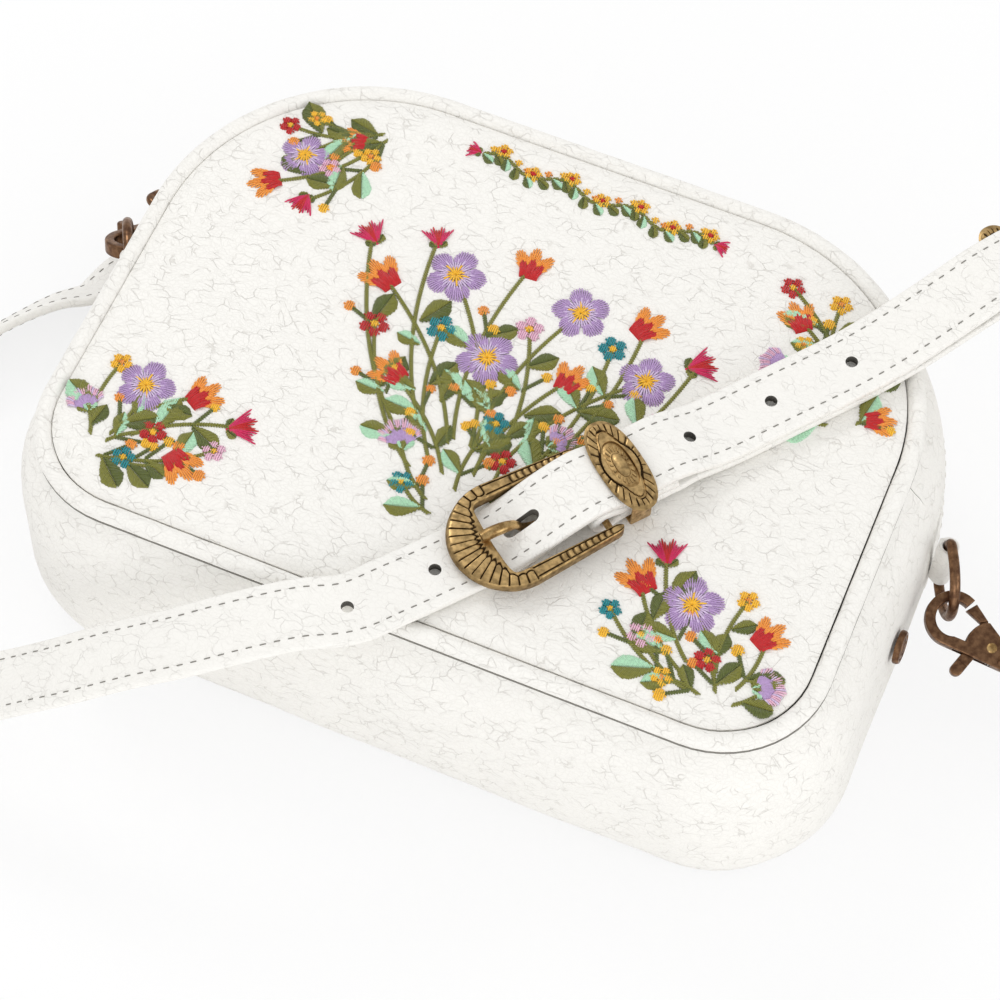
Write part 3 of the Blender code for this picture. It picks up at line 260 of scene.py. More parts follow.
# Free loops of the straps: shares of the body's half width, half height and depth, and the tilt
LEFT_LOOP_SHARES = [
    ((-1.177, 0.491, 0.072), 5), ((-1.232, 0.336, 0.095), 20), ((-1.284, 0.205, 0.116), 43),
    ((-1.348, 0.128, 0.123), 48), ((-1.405, 0.028, 0.128), 53), ((-1.457, -0.084, 0.132), 56),
    ((-1.514, -0.240, 0.135), 60), ((-1.623, -0.560, 0.141), 72), ((-1.708, -0.933, 0.148), 84),
    ((-1.717, -1.307, 0.152), 88), ((-1.585, -1.627, 0.166), 84), ((-1.321, -1.787, 0.248), 56),
    ((-1.123, -1.767, 0.359), 20), ((-1.007, -1.720, 0.455), 6), ((-0.857, -1.639, 0.600), 0),
    ((-0.709, -1.564, 0.745), 0), ((-0.569, -1.473, 0.862), 0), ((-0.434, -1.387, 0.959), 0),
    ((-0.308, -1.279, 1.021), 0), ((-0.185, -1.173, 1.062), 0),
]
RIGHT_LOOP_SHARES = [
    ((1.175, 1.211, 1.068), 0), ((1.283, 1.307, 1.014), -4), ((1.509, 1.373, 0.800), -24),
    ((1.800, 1.347, 0.441), -60), ((2.080, 1.080, 0.210), -86), ((2.189, 0.700, 0.160), -90),
    ((2.142, 0.300, 0.175), -90), ((1.940, 0.029, 0.270), -90),
]
# Along the run across the front, in shares of the long strap's reach past the fifth hole: how far each
# strap's middle stands above its rest on the front in strap thicknesses, and to the left in widths
LONG_RISE_SHARES = [
    (-0.883, 1.19, 0), (-0.765, 0.42, 0), (-0.643, 0.03, 0), (-0.513, 0.00, 0), (-0.448, 0.74, 0),
    (-0.365, 2.35, 0), (-0.304, 3.16, 0), (-0.270, 3.34, 0), (-0.235, 3.08, 0), (-0.204, 2.80, 0),
    (-0.139, 2.80, 0), (-0.061, 2.80, 0), (-0.017, 2.25, 0), (0.035, 1.45, 0), (0.087, 1.16, 0),
    (0.261, 1.16, 0), (0.435, 1.16, 0), (0.539, 1.50, 0.02), (0.635, 2.19, 0.05), (0.748, 3.10, 0.095),
    (0.826, 3.75, 0.125), (0.896, 3.95, 0.145), (0.957, 3.98, 0.165), (1.000, 3.95, 0.18),
]
SHORT_RISE_SHARES = [
    (-0.217, 1.10, 0), (-0.139, 1.10, 0), (-0.061, 1.02, 0), (0.017, 0.45, 0), (0.087, 0.02, 0),
    (0.261, 0.00, 0), (0.435, 0.00, 0), (0.539, 0.15, 0.02), (0.635, 0.54, 0.05), (0.748, 1.19, 0.095),
    (0.826, 1.58, 0.125), (0.916, 1.73, 0.149),
]

# Camera, from the photograph's vanishing lines and the bag's size
CAMERA_PLACE = (0.143487, -0.393689, 0.759494)
CAMERA_RIGHT = (0.92368, 0.38233, 0.02540)
CAMERA_UP = (-0.34582, 0.80327, 0.48494)
CAMERA_LENS = 108.23
FLOOR_SIZE = 6.0
FLOOR_GLOW = 0.76
ROOM_LIGHT = 0.91
ROOM_GLOSS = 0.62

# Embroidery: each spray's foot, seed and motifs, and each motif's kind, place on the front in millimetres,
# size in millimetres and turn in degrees
SPRAYS = {
    "bouquet": ((4, -47), 3, [
        ("blossom", -24, 25, 8.6, 10), ("blossom", 12, 27, 8.2, 40), ("blossom", -6, 4, 8.8, 0),
        ("blossom", 36, 14, 8.0, 25), ("tulip", -42, 17, 8.4, 150), ("tulip", -6, 36, 7.6, 95),
        ("tulip", 30, 30, 7.8, 60), ("tulip", 17, 6, 7.4, 75), ("tulip", -28, -10, 7.8, 160),
        ("pansy", -18, -27, 7.6, 120), ("pansy", 22, -12, 6.6, 50), ("floret", -38, 2, 4.2, 0),
        ("floret", 1, 17, 4.0, 30), ("teal", -21, 8, 4.2, 10), ("teal", 24, 20, 4.0, 50),
        ("teal", 4, -14, 3.8, 20), ("floret", 10, -24, 3.8, 15), ("bud", -50, 28, 6.4, 140),
        ("bud", 47, 24, 7.0, 35), ("bud", -33, 34, 5.6, 115), ("floret", 44, 3, 3.8, 0),
        ("teal", -12, -40, 3.4, 0),
    ]),
    "upper_left": ((-57, 62), 5, [
        ("blossom", -78, 45, 7.4, 20), ("tulip", -84, 33, 7.0, 215), ("tulip", -67, 55, 6.2, 190),
        ("bud", -72, 31, 5.4, 260), ("floret", -70, 44, 3.2, 0), ("floret", -86, 53, 3.0, 0),
        ("gold", -61, 52, 3.0, 0), ("gold", -80, 58, 2.8, 0),
    ]),
    "lower_left": ((-92, -64), 7, [
        ("blossom", -86, -40, 8.2, 15), ("tulip", -71, -37, 7.4, 60), ("tulip", -68, -58, 7.8, 330),
        ("bud", -58, -42, 6.8, 30), ("pansy", -99, -50, 6.2, 130), ("floret", -78, -52, 3.8, 0),
        ("teal", -82, -62, 3.4, 20), ("gold", -95, -36, 3.0, 0), ("floret", -61, -51, 3.2, 40),
    ]),
    "lower_right": ((86, -69), 9, [
        ("blossom", 71, -44, 8.6, 30), ("tulip", 56, -42, 8.0, 140), ("tulip", 92, -45, 7.2, 60),
        ("bud", 60, -33, 6.6, 110), ("pansy", 97, -58, 6.6, 30), ("floret", 62, -57, 4.0, 0),
        ("floret", 80, -57, 3.6, 25), ("gold", 84, -37, 3.0, 0), ("gold", 71, -66, 3.0, 0),
        ("teal", 52, -53, 3.0, 0),
    ]),
    "upper_right": ((90, 22), 11, [
        ("tulip", 67, 49, 7.4, 130), ("tulip", 84, 39, 7.0, 60), ("pansy", 66, 33, 6.8, 200),
        ("gold", 76, 58, 3.2, 0), ("floret", 62, 58, 3.4, 0), ("tulip", 97, 27, 6.4, 20),
        ("gold", 71, 42, 2.8, 0), ("bud", 74, 21, 5.6, 250), ("teal", 86, 50, 3.0, 0),
    ]),
}
GARLAND_START = (-33, 65.5)
GARLAND_END = (37, 62.5)
GARLAND_WAVES = 3.5
GARLAND_SWAY = 1.7
PETALS = 5
BERRY_RADIUS = 0.0015
LEAF_LENGTH = 0.0115
STEM_WIDTH = 0.0011
THREAD_RISE = 0.00042
PALETTE = {
    "violet": "#BF9FD0", "lilac": "#DCC6E8", "gold": "#FFC628", "scarlet": "#CC0812", "orange": "#FAA038",
    "olive": "#84842F", "moss": "#626C2A", "mint": "#BCE8C6", "teal": "#07919A", "magenta": "#D8125C",
    "rose": "#F1BFD6",
}


def linear(code):
    """A Blender colour from an sRGB hex value."""
    values = [int(code[place:place + 2], 16) / 255 for place in (1, 3, 5)]
    return [value / 12.92 if value <= 0.04045 else ((value + 0.055) / 1.055) ** 2.4 for value in values]


class MiniBagSizes(bpy.types.PropertyGroup):
    """Sizes of the finishes."""

    crackle_cell: FloatProperty(
        name="Crackle", description="Width of the islands between the leather's main cracks",
        default=0.0036, unit="LENGTH")
    crackle_fine: FloatProperty(
        name="Fine crackle", description="Width of the islands between the fine cracks",
        default=0.0013, unit="LENGTH")
    stitch_pitch: FloatProperty(
        name="Stitch pitch", description="From one stitch of the strap to the next", default=0.0037,
        unit="LENGTH")
    stitch_length: FloatProperty(
        name="Stitch length", description="Length of a stitch that shows", default=0.0020, unit="LENGTH")
    stitch_inset: FloatProperty(
        name="Stitch inset", description="From the strap's edge to its stitches", default=0.0030,
        unit="LENGTH")
    stitch_radius: FloatProperty(
        name="Stitch thread", description="Radius of the sewing thread", default=0.00019, unit="LENGTH")
    satin_spacing: FloatProperty(
        name="Satin spacing", description="From one embroidery thread to the next", default=0.00056,
        unit="LENGTH")
    satin_radius: FloatProperty(
        name="Satin thread", description="Radius of the embroidery thread", default=0.00027, unit="LENGTH")
    weave_pitch: FloatProperty(
        name="Weave", description="Thread spacing of the lining and the zip tape", default=0.0007,
        unit="LENGTH")


class MiniBagColours(bpy.types.PropertyGroup):
    """Colours of the finishes."""

    leather: FloatVectorProperty(
        name="Leather", description="White top coat of the leather", default=linear("#F1EFEA"),
        subtype="COLOR")
    crack: FloatVectorProperty(
        name="Cracks", description="The undercoat that shows in the cracks", default=linear("#9E968A"),
        subtype="COLOR")
    raw: FloatVectorProperty(
        name="Raw edge", description="Cut edge of the leather in the holes", default=linear("#3B3732"),
        subtype="COLOR")
    # This grey also colours the painted shade line in the crease under the front piping.
    sewing: FloatVectorProperty(
        name="Sewing thread", description="Thread of the strap's stitches", default=linear("#86837C"),
        subtype="COLOR")
    lining: FloatVectorProperty(
        name="Lining", description="Cotton inside the bag", default=linear("#DCD6C9"), subtype="COLOR")
    tape: FloatVectorProperty(
        name="Zip tape", description="Woven tape of the zip", default=linear("#F0EEE8"), subtype="COLOR")
    brass: FloatVectorProperty(
        name="Antique brass", description="Rubbed high places of the buckle", default=linear("#D6B47C"),
        subtype="COLOR")
    patina: FloatVectorProperty(
        name="Patina", description="Dark colour in the buckle's grooves", default=linear("#3C2C1C"),
        subtype="COLOR")
    tumbled: FloatVectorProperty(
        name="Tumbled brass", description="Duller patches of the plain brass pieces",
        default=linear("#94754A"), subtype="COLOR")
    bronze: FloatVectorProperty(
        name="Dark brass", description="Browned brass of the rings and clasps", default=linear("#8E6C50"),
        subtype="COLOR")
    bronze_dark: FloatVectorProperty(
        name="Brown patina", description="Dark patches of the rings and clasps", default=linear("#644836"),
        subtype="COLOR")
    steel: FloatVectorProperty(
        name="Spring steel", description="Drawn wire of the gate springs", default=linear("#B4B4B0"),
        subtype="COLOR")


def sizes():
    return bpy.context.scene.mini_bag_sizes


def colours():
    return bpy.context.scene.mini_bag_colours


def rgba(colour):
    return (*colour, 1)


def add(tree, kind, inputs=None, links=None, **settings):
    """A node with its settings, input values and incoming links."""
    node = tree.nodes.new(kind)
    for key, value in settings.items():
        setattr(node, key, value)
    for key, value in (inputs or {}).items():
        node.inputs[key].default_value = value
    for key, socket in (links or {}).items():
        tree.links.new(socket, node.inputs[key])
    return node


def surface(tree, shader, links, **values):
    """Links and plain values of a material's shader."""
    for key, socket in links.items():
        tree.links.new(socket, shader.inputs[key])
    for key, value in values.items():
        shader.inputs[key.replace("_", " ")].default_value = value


def crackled_leather(tree, shader, cell, depth, strength):
    # Cowhide with a white crackled top coat: fine grey cracks round small islands, faint grain, a soft shine
    place = add(tree, "ShaderNodeTexCoord").outputs["Object"]
    drift = add(tree, "ShaderNodeTexNoise", {"Scale": 1 / 0.009, "Detail": 4.0}, {"Vector": place})
    centred = add(tree, "ShaderNodeVectorMath", {1: (0.5, 0.5, 0.5)}, {0: drift.outputs["Color"]},
                  operation="SUBTRACT")
    shifted = add(tree, "ShaderNodeVectorMath", {1: (0.008, 0.008, 0.008)}, {0: centred.outputs[0]},
                  operation="MULTIPLY")
    drifted = add(tree, "ShaderNodeVectorMath", None, {0: place, 1: shifted.outputs[0]}, operation="ADD")
    bent = add(tree, "ShaderNodeVectorMath", {1: (0.70, 1.25, 1.0)}, {0: drifted.outputs[0]},
               operation="MULTIPLY")
    cracks = []
    for width, reach in ((cell, 0.045), (sizes().crackle_fine, 0.09)):
        island = add(tree, "ShaderNodeTexVoronoi", {"Scale": 1 / width}, {"Vector": bent.outputs[0]},
                     feature="DISTANCE_TO_EDGE")
        cracks.append(add(tree, "ShaderNodeMapRange", {1: 0.0, 2: reach, 3: 1.0, 4: 0.0},
                          {0: island.outputs["Distance"]}).outputs[0])
    patches = add(tree, "ShaderNodeTexNoise", {"Scale": 1 / 0.0045, "Detail": 3.0}, {"Vector": place})
    worn = add(tree, "ShaderNodeMapRange", {1: 0.42, 2: 0.60, 3: 0.10, 4: 1.0}, {0: patches.outputs["Fac"]})
    shown = add(tree, "ShaderNodeMath", None, {0: cracks[0], 1: worn.outputs[0]}, operation="MULTIPLY")
    faint = add(tree, "ShaderNodeMath", {1: 0.28}, {0: cracks[1]}, operation="MULTIPLY")
    both = add(tree, "ShaderNodeMath", None, {0: shown.outputs[0], 1: faint.outputs[0]}, operation="MAXIMUM")
    tint = add(tree, "ShaderNodeMath", {1: strength}, {0: both.outputs[0]}, operation="MULTIPLY")
    colour = add(tree, "ShaderNodeMix", {6: rgba(colours().leather), 7: rgba(colours().crack)},
                 {0: tint.outputs[0]}, data_type="RGBA")
    grain = add(tree, "ShaderNodeTexNoise", {"Scale": 1 / 0.0012, "Detail": 4.0}, {"Vector": place})
    pores = add(tree, "ShaderNodeMath", {1: 0.35}, {0: grain.outputs["Fac"]}, operation="MULTIPLY")
    height = add(tree, "ShaderNodeMath", None, {0: pores.outputs[0], 1: both.outputs[0]},
                 operation="SUBTRACT")
    bump = add(tree, "ShaderNodeBump", {"Strength": 0.65, "Distance": depth}, {"Height": height.outputs[0]})
    shine = add(tree, "ShaderNodeMapRange", {1: 0.3, 2: 0.7, 3: 0.42, 4: 0.58}, {0: grain.outputs["Fac"]})
    surface(tree, shader, {"Base Color": colour.outputs[2], "Normal": bump.outputs[0],
                           "Roughness": shine.outputs[0]}, IOR=1.46)


def woven_cotton(tree, shader, colour):
    # Plain woven cotton: small crossing threads, quite matt
    place = add(tree, "ShaderNodeTexCoord").outputs["Object"]
    scale = 1 / sizes().weave_pitch / 6
    warp, weft = [add(tree, "ShaderNodeTexWave", {"Scale": scale, "Distortion": 0.3}, {"Vector": place},
                      bands_direction=axis) for axis in ("X", "Y")]
    cross = add(tree, "ShaderNodeMath", None, {0: warp.outputs["Fac"], 1: weft.outputs["Fac"]},
                operation="MULTIPLY")
    slubs = add(tree, "ShaderNodeTexNoise", {"Scale": 1 / 0.004, "Detail": 3.0}, {"Vector": place})
    dark = [channel * 0.72 for channel in colour]
    shade = add(tree, "ShaderNodeMix", {6: rgba(dark), 7: rgba(colour)}, {0: slubs.outputs["Fac"]},
                data_type="RGBA")
    bump = add(tree, "ShaderNodeBump", {"Strength": 0.6, "Distance": 0.0002}, {"Height": cross.outputs[0]})
    surface(tree, shader, {"Base Color": shade.outputs[2], "Normal": bump.outputs[0]}, Roughness=0.88)


def satin_thread(tree, shader, colour, roughness):
    # Twisted thread: slightly uneven colour, fine plies across it and a silky shine
    place = add(tree, "ShaderNodeTexCoord").outputs["Object"]
    uneven = add(tree, "ShaderNodeTexNoise", {"Scale": 1 / 0.0005, "Detail": 2.0}, {"Vector": place})
    dark = [channel * 0.78 for channel in colour]
    spread = add(tree, "ShaderNodeMapRange", {1: 0.3, 2: 0.62, 3: 0.0, 4: 1.0}, {0: uneven.outputs["Fac"]})
    shade = add(tree, "ShaderNodeMix", {6: rgba(dark), 7: rgba(colour)}, {0: spread.outputs[0]},
                data_type="RGBA")
    plies = add(tree, "ShaderNodeTexNoise", {"Scale": 1 / 0.00035, "Detail": 1.0}, {"Vector": place})
    bump = add(tree, "ShaderNodeBump", {"Strength": 0.4, "Distance": 0.00008},
               {"Height": plies.outputs["Fac"]})
    surface(tree, shader, {"Base Color": shade.outputs[2], "Normal": bump.outputs[0]}, Roughness=roughness,
            Sheen_Weight=0.25)


def rubbed_metal(tree, shader, mottle, rubbed, tones, dulls, strength, depth):
    """Mixes a metal's dark and rubbed places in colour, shine and a faint unevenness."""
    colour = add(tree, "ShaderNodeMix", {6: rgba(tones[0]), 7: rgba(tones[1])},
                 {0: rubbed.outputs[0]}, data_type="RGBA")
    dull = add(tree, "ShaderNodeMapRange", {1: 0.0, 2: 1.0, 3: dulls[0], 4: dulls[1]},
               {0: rubbed.outputs[0]})
    bump = add(tree, "ShaderNodeBump", {"Strength": strength, "Distance": depth},
               {"Height": mottle.outputs["Fac"]})
    surface(tree, shader, {"Base Color": colour.outputs[2], "Normal": bump.outputs[0],
                           "Roughness": dull.outputs[0]}, Metallic=1)


def antique_brass(tree, shader, high, low):
    # Cast brass with dark patina rubbed off its high places: brown-black grooves, mellow worn faces
    place = add(tree, "ShaderNodeTexCoord").outputs["Object"]
    relief = add(tree, "ShaderNodeAttribute", attribute_name="relief")
    mottle = add(tree, "ShaderNodeTexNoise", {"Scale": 1 / 0.0016, "Detail": 5.0}, {"Vector": place})
    spots = add(tree, "ShaderNodeMapRange", {1: 0.36, 2: 0.62, 3: 0.45, 4: 1.0}, {0: mottle.outputs["Fac"]})
    rubbed = add(tree, "ShaderNodeMath", None, {0: relief.outputs["Fac"], 1: spots.outputs[0]},
                 operation="MULTIPLY")
    rubbed_metal(tree, shader, mottle, rubbed, (low, high), (0.60, 0.33), 0.25, 0.0001)


def browned_brass(tree, shader, light, dark):
    # Die-cast brass, browned in a bath and tumbled: dark mottled skin with warmer rubbed patches
    place = add(tree, "ShaderNodeTexCoord").outputs["Object"]
    mottle = add(tree, "ShaderNodeTexNoise", {"Scale": 1 / 0.0019, "Detail": 6.0, "Roughness": 0.6},
                 {"Vector": place})
    rubbed = add(tree, "ShaderNodeMapRange", {1: 0.38, 2: 0.64, 3: 0.0, 4: 1.0}, {0: mottle.outputs["Fac"]})
    rubbed_metal(tree, shader, mottle, rubbed, (dark, light), (0.44, 0.28), 0.3, 0.00012)


def drawn_steel(tree, shader, colour):
    # Hard-drawn steel wire: bright, with faint lines
    place = add(tree, "ShaderNodeTexCoord").outputs["Object"]
    lines = add(tree, "ShaderNodeTexNoise", {"Scale": 1 / 0.0004, "Detail": 2.0}, {"Vector": place})
    dull = add(tree, "ShaderNodeMapRange", {1: 0.3, 2: 0.7, 3: 0.24, 4: 0.42}, {0: lines.outputs["Fac"]})
    surface(tree, shader, {"Roughness": dull.outputs[0]}, Base_Color=rgba(colour), Metallic=1)


def raw_edge(tree, shader):
    # Cut edge of the leather in a punched hole: dark, fibrous and matt
    place = add(tree, "ShaderNodeTexCoord").outputs["Object"]
    fibres = add(tree, "ShaderNodeTexNoise", {"Scale": 1 / 0.0003, "Detail": 3.0}, {"Vector": place})
    shade = add(tree, "ShaderNodeMix", {6: rgba(colours().raw), 7: rgba(colours().sewing)},
                {0: fibres.outputs["Fac"]}, data_type="RGBA")
    bump = add(tree, "ShaderNodeBump", {"Strength": 0.5, "Distance": 0.0001},
               {"Height": fibres.outputs["Fac"]})
    surface(tree, shader, {"Base Color": shade.outputs[2], "Normal": bump.outputs[0]}, Roughness=0.9)


def floor_white(tree, shader):
    # Seamless white paper: reads white to the eye and still takes a faint shadow
    grain = add(tree, "ShaderNodeTexNoise", {"Scale": 1 / 0.002, "Detail": 2.0})
    bump = add(tree, "ShaderNodeBump", {"Strength": 0.05, "Distance": 0.0001},
               {"Height": grain.outputs["Fac"]})
    surface(tree, shader, {"Normal": bump.outputs[0]}, Base_Color=rgba(linear("#F4F4F4")), Roughness=0.9)
    path = add(tree, "ShaderNodeLightPath")
    glow = add(tree, "ShaderNodeEmission", {"Color": (1, 1, 1, 1), "Strength": 1.0})
    share = add(tree, "ShaderNodeMath", {1: FLOOR_GLOW}, {0: path.outputs["Is Camera Ray"]},
                operation="MULTIPLY")
    mix = add(tree, "ShaderNodeMixShader", None,
              {0: share.outputs[0], 1: shader.outputs[0], 2: glow.outputs[0]})
    tree.links.new(mix.outputs[0], tree.nodes["Material Output"].inputs["Surface"])


def finish(name):
    """A material of the bag, built when it is first asked for."""
    found = bpy.data.materials.get(name)
    if found:
        return found
    tones, cell = colours(), sizes().crackle_cell
    recipes = {
        "crackled_cowhide": (crackled_leather, cell, 0.00020, 0.34),
        "crackled_strap_leather": (crackled_leather, cell * 0.8, 0.00016, 0.20),
        "raw_leather_edge": (raw_edge,),
        "plain_woven_cotton_lining": (woven_cotton, tones.lining),
        "woven_zip_tape": (woven_cotton, tones.tape),
        # The waxed thread also dresses the painted shade line in the crease under the front piping.
        "waxed_sewing_thread_and_seam_shade": (satin_thread, tones.sewing, 0.6),
        "white_sewing_thread": (satin_thread, tones.tape, 0.6),
        "cast_antique_brass": (antique_brass, tones.brass, tones.patina),
        "tumbled_antique_brass": (browned_brass, tones.brass, tones.tumbled),
        "browned_brass": (browned_brass, tones.bronze, tones.bronze_dark),
        "drawn_spring_steel": (drawn_steel, tones.steel),
        "white_paper_floor": (floor_white,),
    }
    for tone, code in PALETTE.items():
        recipes["rayon_thread_" + tone] = (satin_thread, linear(code), 0.42)
    build, *values = recipes[name]
    made = bpy.data.materials.new(name)
    made.use_nodes = True
    build(made.node_tree, made.node_tree.nodes["Principled BSDF"], *values)
    return made


def smooth(mesh, angle=35):
    mesh.shade_smooth()
    mesh.set_sharp_from_angle(angle=math.radians(angle))


def put(name, data):
    """An object in the scene."""
    obj = bpy.data.objects.new(name, data)
    bpy.context.scene.collection.objects.link(obj)
    return obj


def piece(mesh, material, body, slot, *nodes):
    """A piece named as its mesh, in its finish, that rides on a body and stands for its nodes."""
    obj = put(mesh.name, mesh)
    if material:
        mesh.materials.clear()
        mesh.materials.append(finish(material))
    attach(obj, body)
    if nodes:
        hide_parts(*nodes)


def refinish(node, material):
    """A new material on a node that keeps its own shape."""
    obj = frame["nodes"][node]
    obj.data.materials.clear()
    obj.data.materials.append(finish(material))


def around(steps):
    """Even angles of a full turn."""
    return [math.pi * 2 * step / steps for step in range(steps)]


def tube(base, rows, sides, wrap=False):
    """Faces over rows of points: the last row joins the first, or both ends are closed."""
    faces = []
    for row in range(rows if wrap else rows - 1):
        low = base + row * sides
        high = base + (row + 1) % rows * sides
        for side in range(sides):
            after = (side + 1) % sides
            faces.append((low + side, low + after, high + after, high + side))
    if not wrap:
        last = base + (rows - 1) * sides
        faces.append(tuple(reversed(range(base, base + sides))))
        faces.append(tuple(range(last, last + sides)))
    return faces


def skin(name, points, faces):
    """A mesh whose faces all look outward."""
    mesh = bpy.data.meshes.new(name)
    mesh.from_pydata(points, [], faces)
    bm = bmesh.new()
    bm.from_mesh(mesh)
    bmesh.ops.recalc_face_normals(bm, faces=bm.faces)
    bm.to_mesh(mesh)
    bm.free()
    return mesh


def loft(name, rows, wrap=False, relief=None, angle=35):
    """A skin over rows of points, with its worn heights where a relief gives them."""
    points = [point for row in rows for point in row]
    mesh = skin(name, points, tube(0, len(rows), len(rows[0]), wrap))
    if relief:
        worn = mesh.attributes.new("relief", "FLOAT", "POINT")
        worn.data.foreach_set("value", [value for row in relief for value in row])
    smooth(mesh, angle)
    return mesh


def placed(mesh, matrix):
    mesh.transform(matrix)
    return mesh


def arc(centre, radius, first, last, steps):
    """Points of an arc in a plane."""
    points = []
    for step in range(steps + 1):
        angle = first + (last - first) * step / steps
        points.append((centre[0] + radius * math.cos(angle), centre[1] + radius * math.sin(angle)))
    return points


def axes(origin, x_axis, z_axis):
    """A matrix at an origin, with its X along x_axis and its Z near z_axis."""
    x_axis = x_axis.normalized()
    z_axis = (z_axis - x_axis * z_axis.dot(x_axis)).normalized()
    matrix = Matrix((x_axis, z_axis.cross(x_axis), z_axis)).transposed().to_4x4()
    return Matrix.Translation(origin) @ matrix


def along_x():
    """Turns a shape made along Z to lie along X."""
    return Matrix.Rotation(math.pi / 2, 4, "Y")


def wire(name, points, radius, closed=False, sides=16, swells=None):
    """A round bar along points, with its own radius at each."""
    count = len(points)
    rows = []
    normal = None
    for index, point in enumerate(points):
        before = points[index - 1] if index or closed else point
        after = points[(index + 1) % count] if index < count - 1 or closed else point
        heading = (after - before).normalized()
        if normal is None:
            normal = heading.orthogonal().normalized()
        normal = (normal - heading * normal.dot(heading)).normalized()
        across = heading.cross(normal)
        size = radius * (swells[index] if swells else 1)
        rows.append([point + normal * math.cos(angle) * size + across * math.sin(angle) * size
                     for angle in around(sides)])
    return loft(name, rows, wrap=closed)


def turned(name, profile, steps=32):
    """A solid turned round Z from (radius, height) pairs, from one end to the other."""
    rows = [[Vector((radius * math.cos(angle), radius * math.sin(angle), height)) for angle in around(steps)]
            for radius, height in profile]
    return loft(name, rows)


def casting(name, outline, thickness, edge=CAST_EDGE, holes=()):
    """A flat shape with rounded edges, as a mesh."""
    curve = bpy.data.curves.new(name, "CURVE")
    curve.dimensions = "2D"
    curve.fill_mode = "BOTH"
    curve.extrude = thickness / 2 - edge
    curve.bevel_depth = edge
    curve.bevel_resolution = 2
    curve.offset = -edge
    for points in [outline, *holes]:
        spline = curve.splines.new("POLY")
        spline.points.add(len(points) - 1)
        spline.use_cyclic_u = True
        for point, (x, y) in zip(spline.points, points):
            point.co = (x, y, 0, 1)
    holder = put(name, curve)
    bpy.context.view_layer.update()
    graph = bpy.context.evaluated_depsgraph_get()
    mesh = bpy.data.meshes.new_from_object(holder.evaluated_get(graph))
    bpy.data.objects.remove(holder)
    bm = bmesh.new()
    bm.from_mesh(mesh)
    bmesh.ops.remove_doubles(bm, verts=bm.verts, dist=MM / 1000)
    bm.to_mesh(mesh)
    bm.free()
    smooth(mesh)
    return mesh


def combined(mesh, others, operation):
    """A mesh joined with, or cut by, other meshes, under its own name."""
    name = mesh.name
    holder = put(name, mesh)
    tools = [put(other.name, other) for other in others]
    for tool in tools:
        step = holder.modifiers.new(tool.name, "BOOLEAN")
        step.operation = operation
        step.object = tool
        step.material_mode = "TRANSFER"
    bpy.context.view_layer.update()
    graph = bpy.context.evaluated_depsgraph_get()
    result = bpy.data.meshes.new_from_object(holder.evaluated_get(graph))
    for obj in [holder, *tools]:
        bpy.data.objects.remove(obj)
    bpy.data.meshes.remove(mesh)
    result.name = name
    smooth(result)
    return result


def joint(name):
    """A joint's place and axis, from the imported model."""
    found = next(entry for entry in frame["joints"] if entry["name"] == name)
    return Vector(found.get("pos_m", (0, 0, 0))), Vector(found["axis"]).normalized()


def lean(height):
    """How far the soft body leans to the right at a height."""
    return LEAN * (1 - height / BODY_DEPTH)


def corner(centre, radius, first, last):
    """Stations round a corner: a point of the outline and the direction out of it."""
    steps = max(4, round(radius * abs(last - first) / STATION_STEP))
    outs = [Vector(point) for point in arc((0, 0), 1, first, last, steps)]
    return [(Vector(centre) + out * radius, out) for out in outs]


def spaced(stations, closed=False):
    """Stations with the straight runs between corners divided evenly."""
    result = []
    ring = stations + [stations[0]] if closed else stations
    for (start, out), (end, after) in zip(ring, ring[1:]):
        steps = max(1, round((end - start).length / STATION_STEP))
        for step in range(steps):
            share = step / steps
            result.append((start.lerp(end, share), out.lerp(after, share).normalized()))
    if not closed:
        result.append(stations[-1])
    return result


def top_corners(trim=0.0):
    x = BODY_WIDTH / 2 - TOP_RADIUS
    right = corner((x, SEAM_Y), TOP_RADIUS, trim, math.pi / 2)
    left = corner((-x, SEAM_Y), TOP_RADIUS, math.pi / 2, math.pi - trim)
    return right + left


def bottom_corners():
    x = BODY_WIDTH / 2 - BOTTOM_RADIUS
    y = BOTTOM_RADIUS - BODY_HEIGHT / 2
    left = corner((-x, y), BOTTOM_RADIUS, math.pi, math.pi * 1.5)
    right = corner((x, y), BOTTOM_RADIUS, math.pi * 1.5, math.pi * 2)
    return left + right


def top_path(trim=0.0):
    return spaced(top_corners(trim))


def bottom_path():
    start = (Vector((-BODY_WIDTH / 2, SEAM_Y - GAP)), Vector((-1, 0)))
    end = (Vector((BODY_WIDTH / 2, SEAM_Y - GAP)), Vector((1, 0)))
    return spaced([start] + bottom_corners() + [end])


def whole_path():
    return spaced(top_corners() + bottom_corners(), closed=True)


def on_body(station, offset, height):
    point, out = station
    spot = point + out * offset
    return Vector((spot.x + lean(height), spot.y, height))


def smooth_between(u, start, leaving, end, arriving):
    """A point at the share u of a smooth curve, from where it starts and ends and how fast it runs there."""
    return ((2 * u ** 3 - 3 * u ** 2 + 1) * start + (u ** 3 - 2 * u ** 2 + u) * leaving
            + (3 * u ** 2 - 2 * u ** 3) * end + (u ** 3 - u ** 2) * arriving)


def swell_share(share):
    """The gusset's swelling at a share of its height, on a smooth curve through its table."""
    table = GUSSET_SHARES
    for index in range(len(table) - 1):
        (low, first), (high, second) = table[index], table[index + 1]
        if share <= high or index == len(table) - 2:
            before = table[max(index - 1, 0)]
            after = table[min(index + 2, len(table) - 1)]
            width = high - low
            leaving = (second - before[1]) / (high - before[0]) * width
            arriving = (after[1] - first) / (after[0] - low) * width
            return smooth_between(min(max((share - low) / width, 0), 1), first, leaving, second, arriving)
    return 0


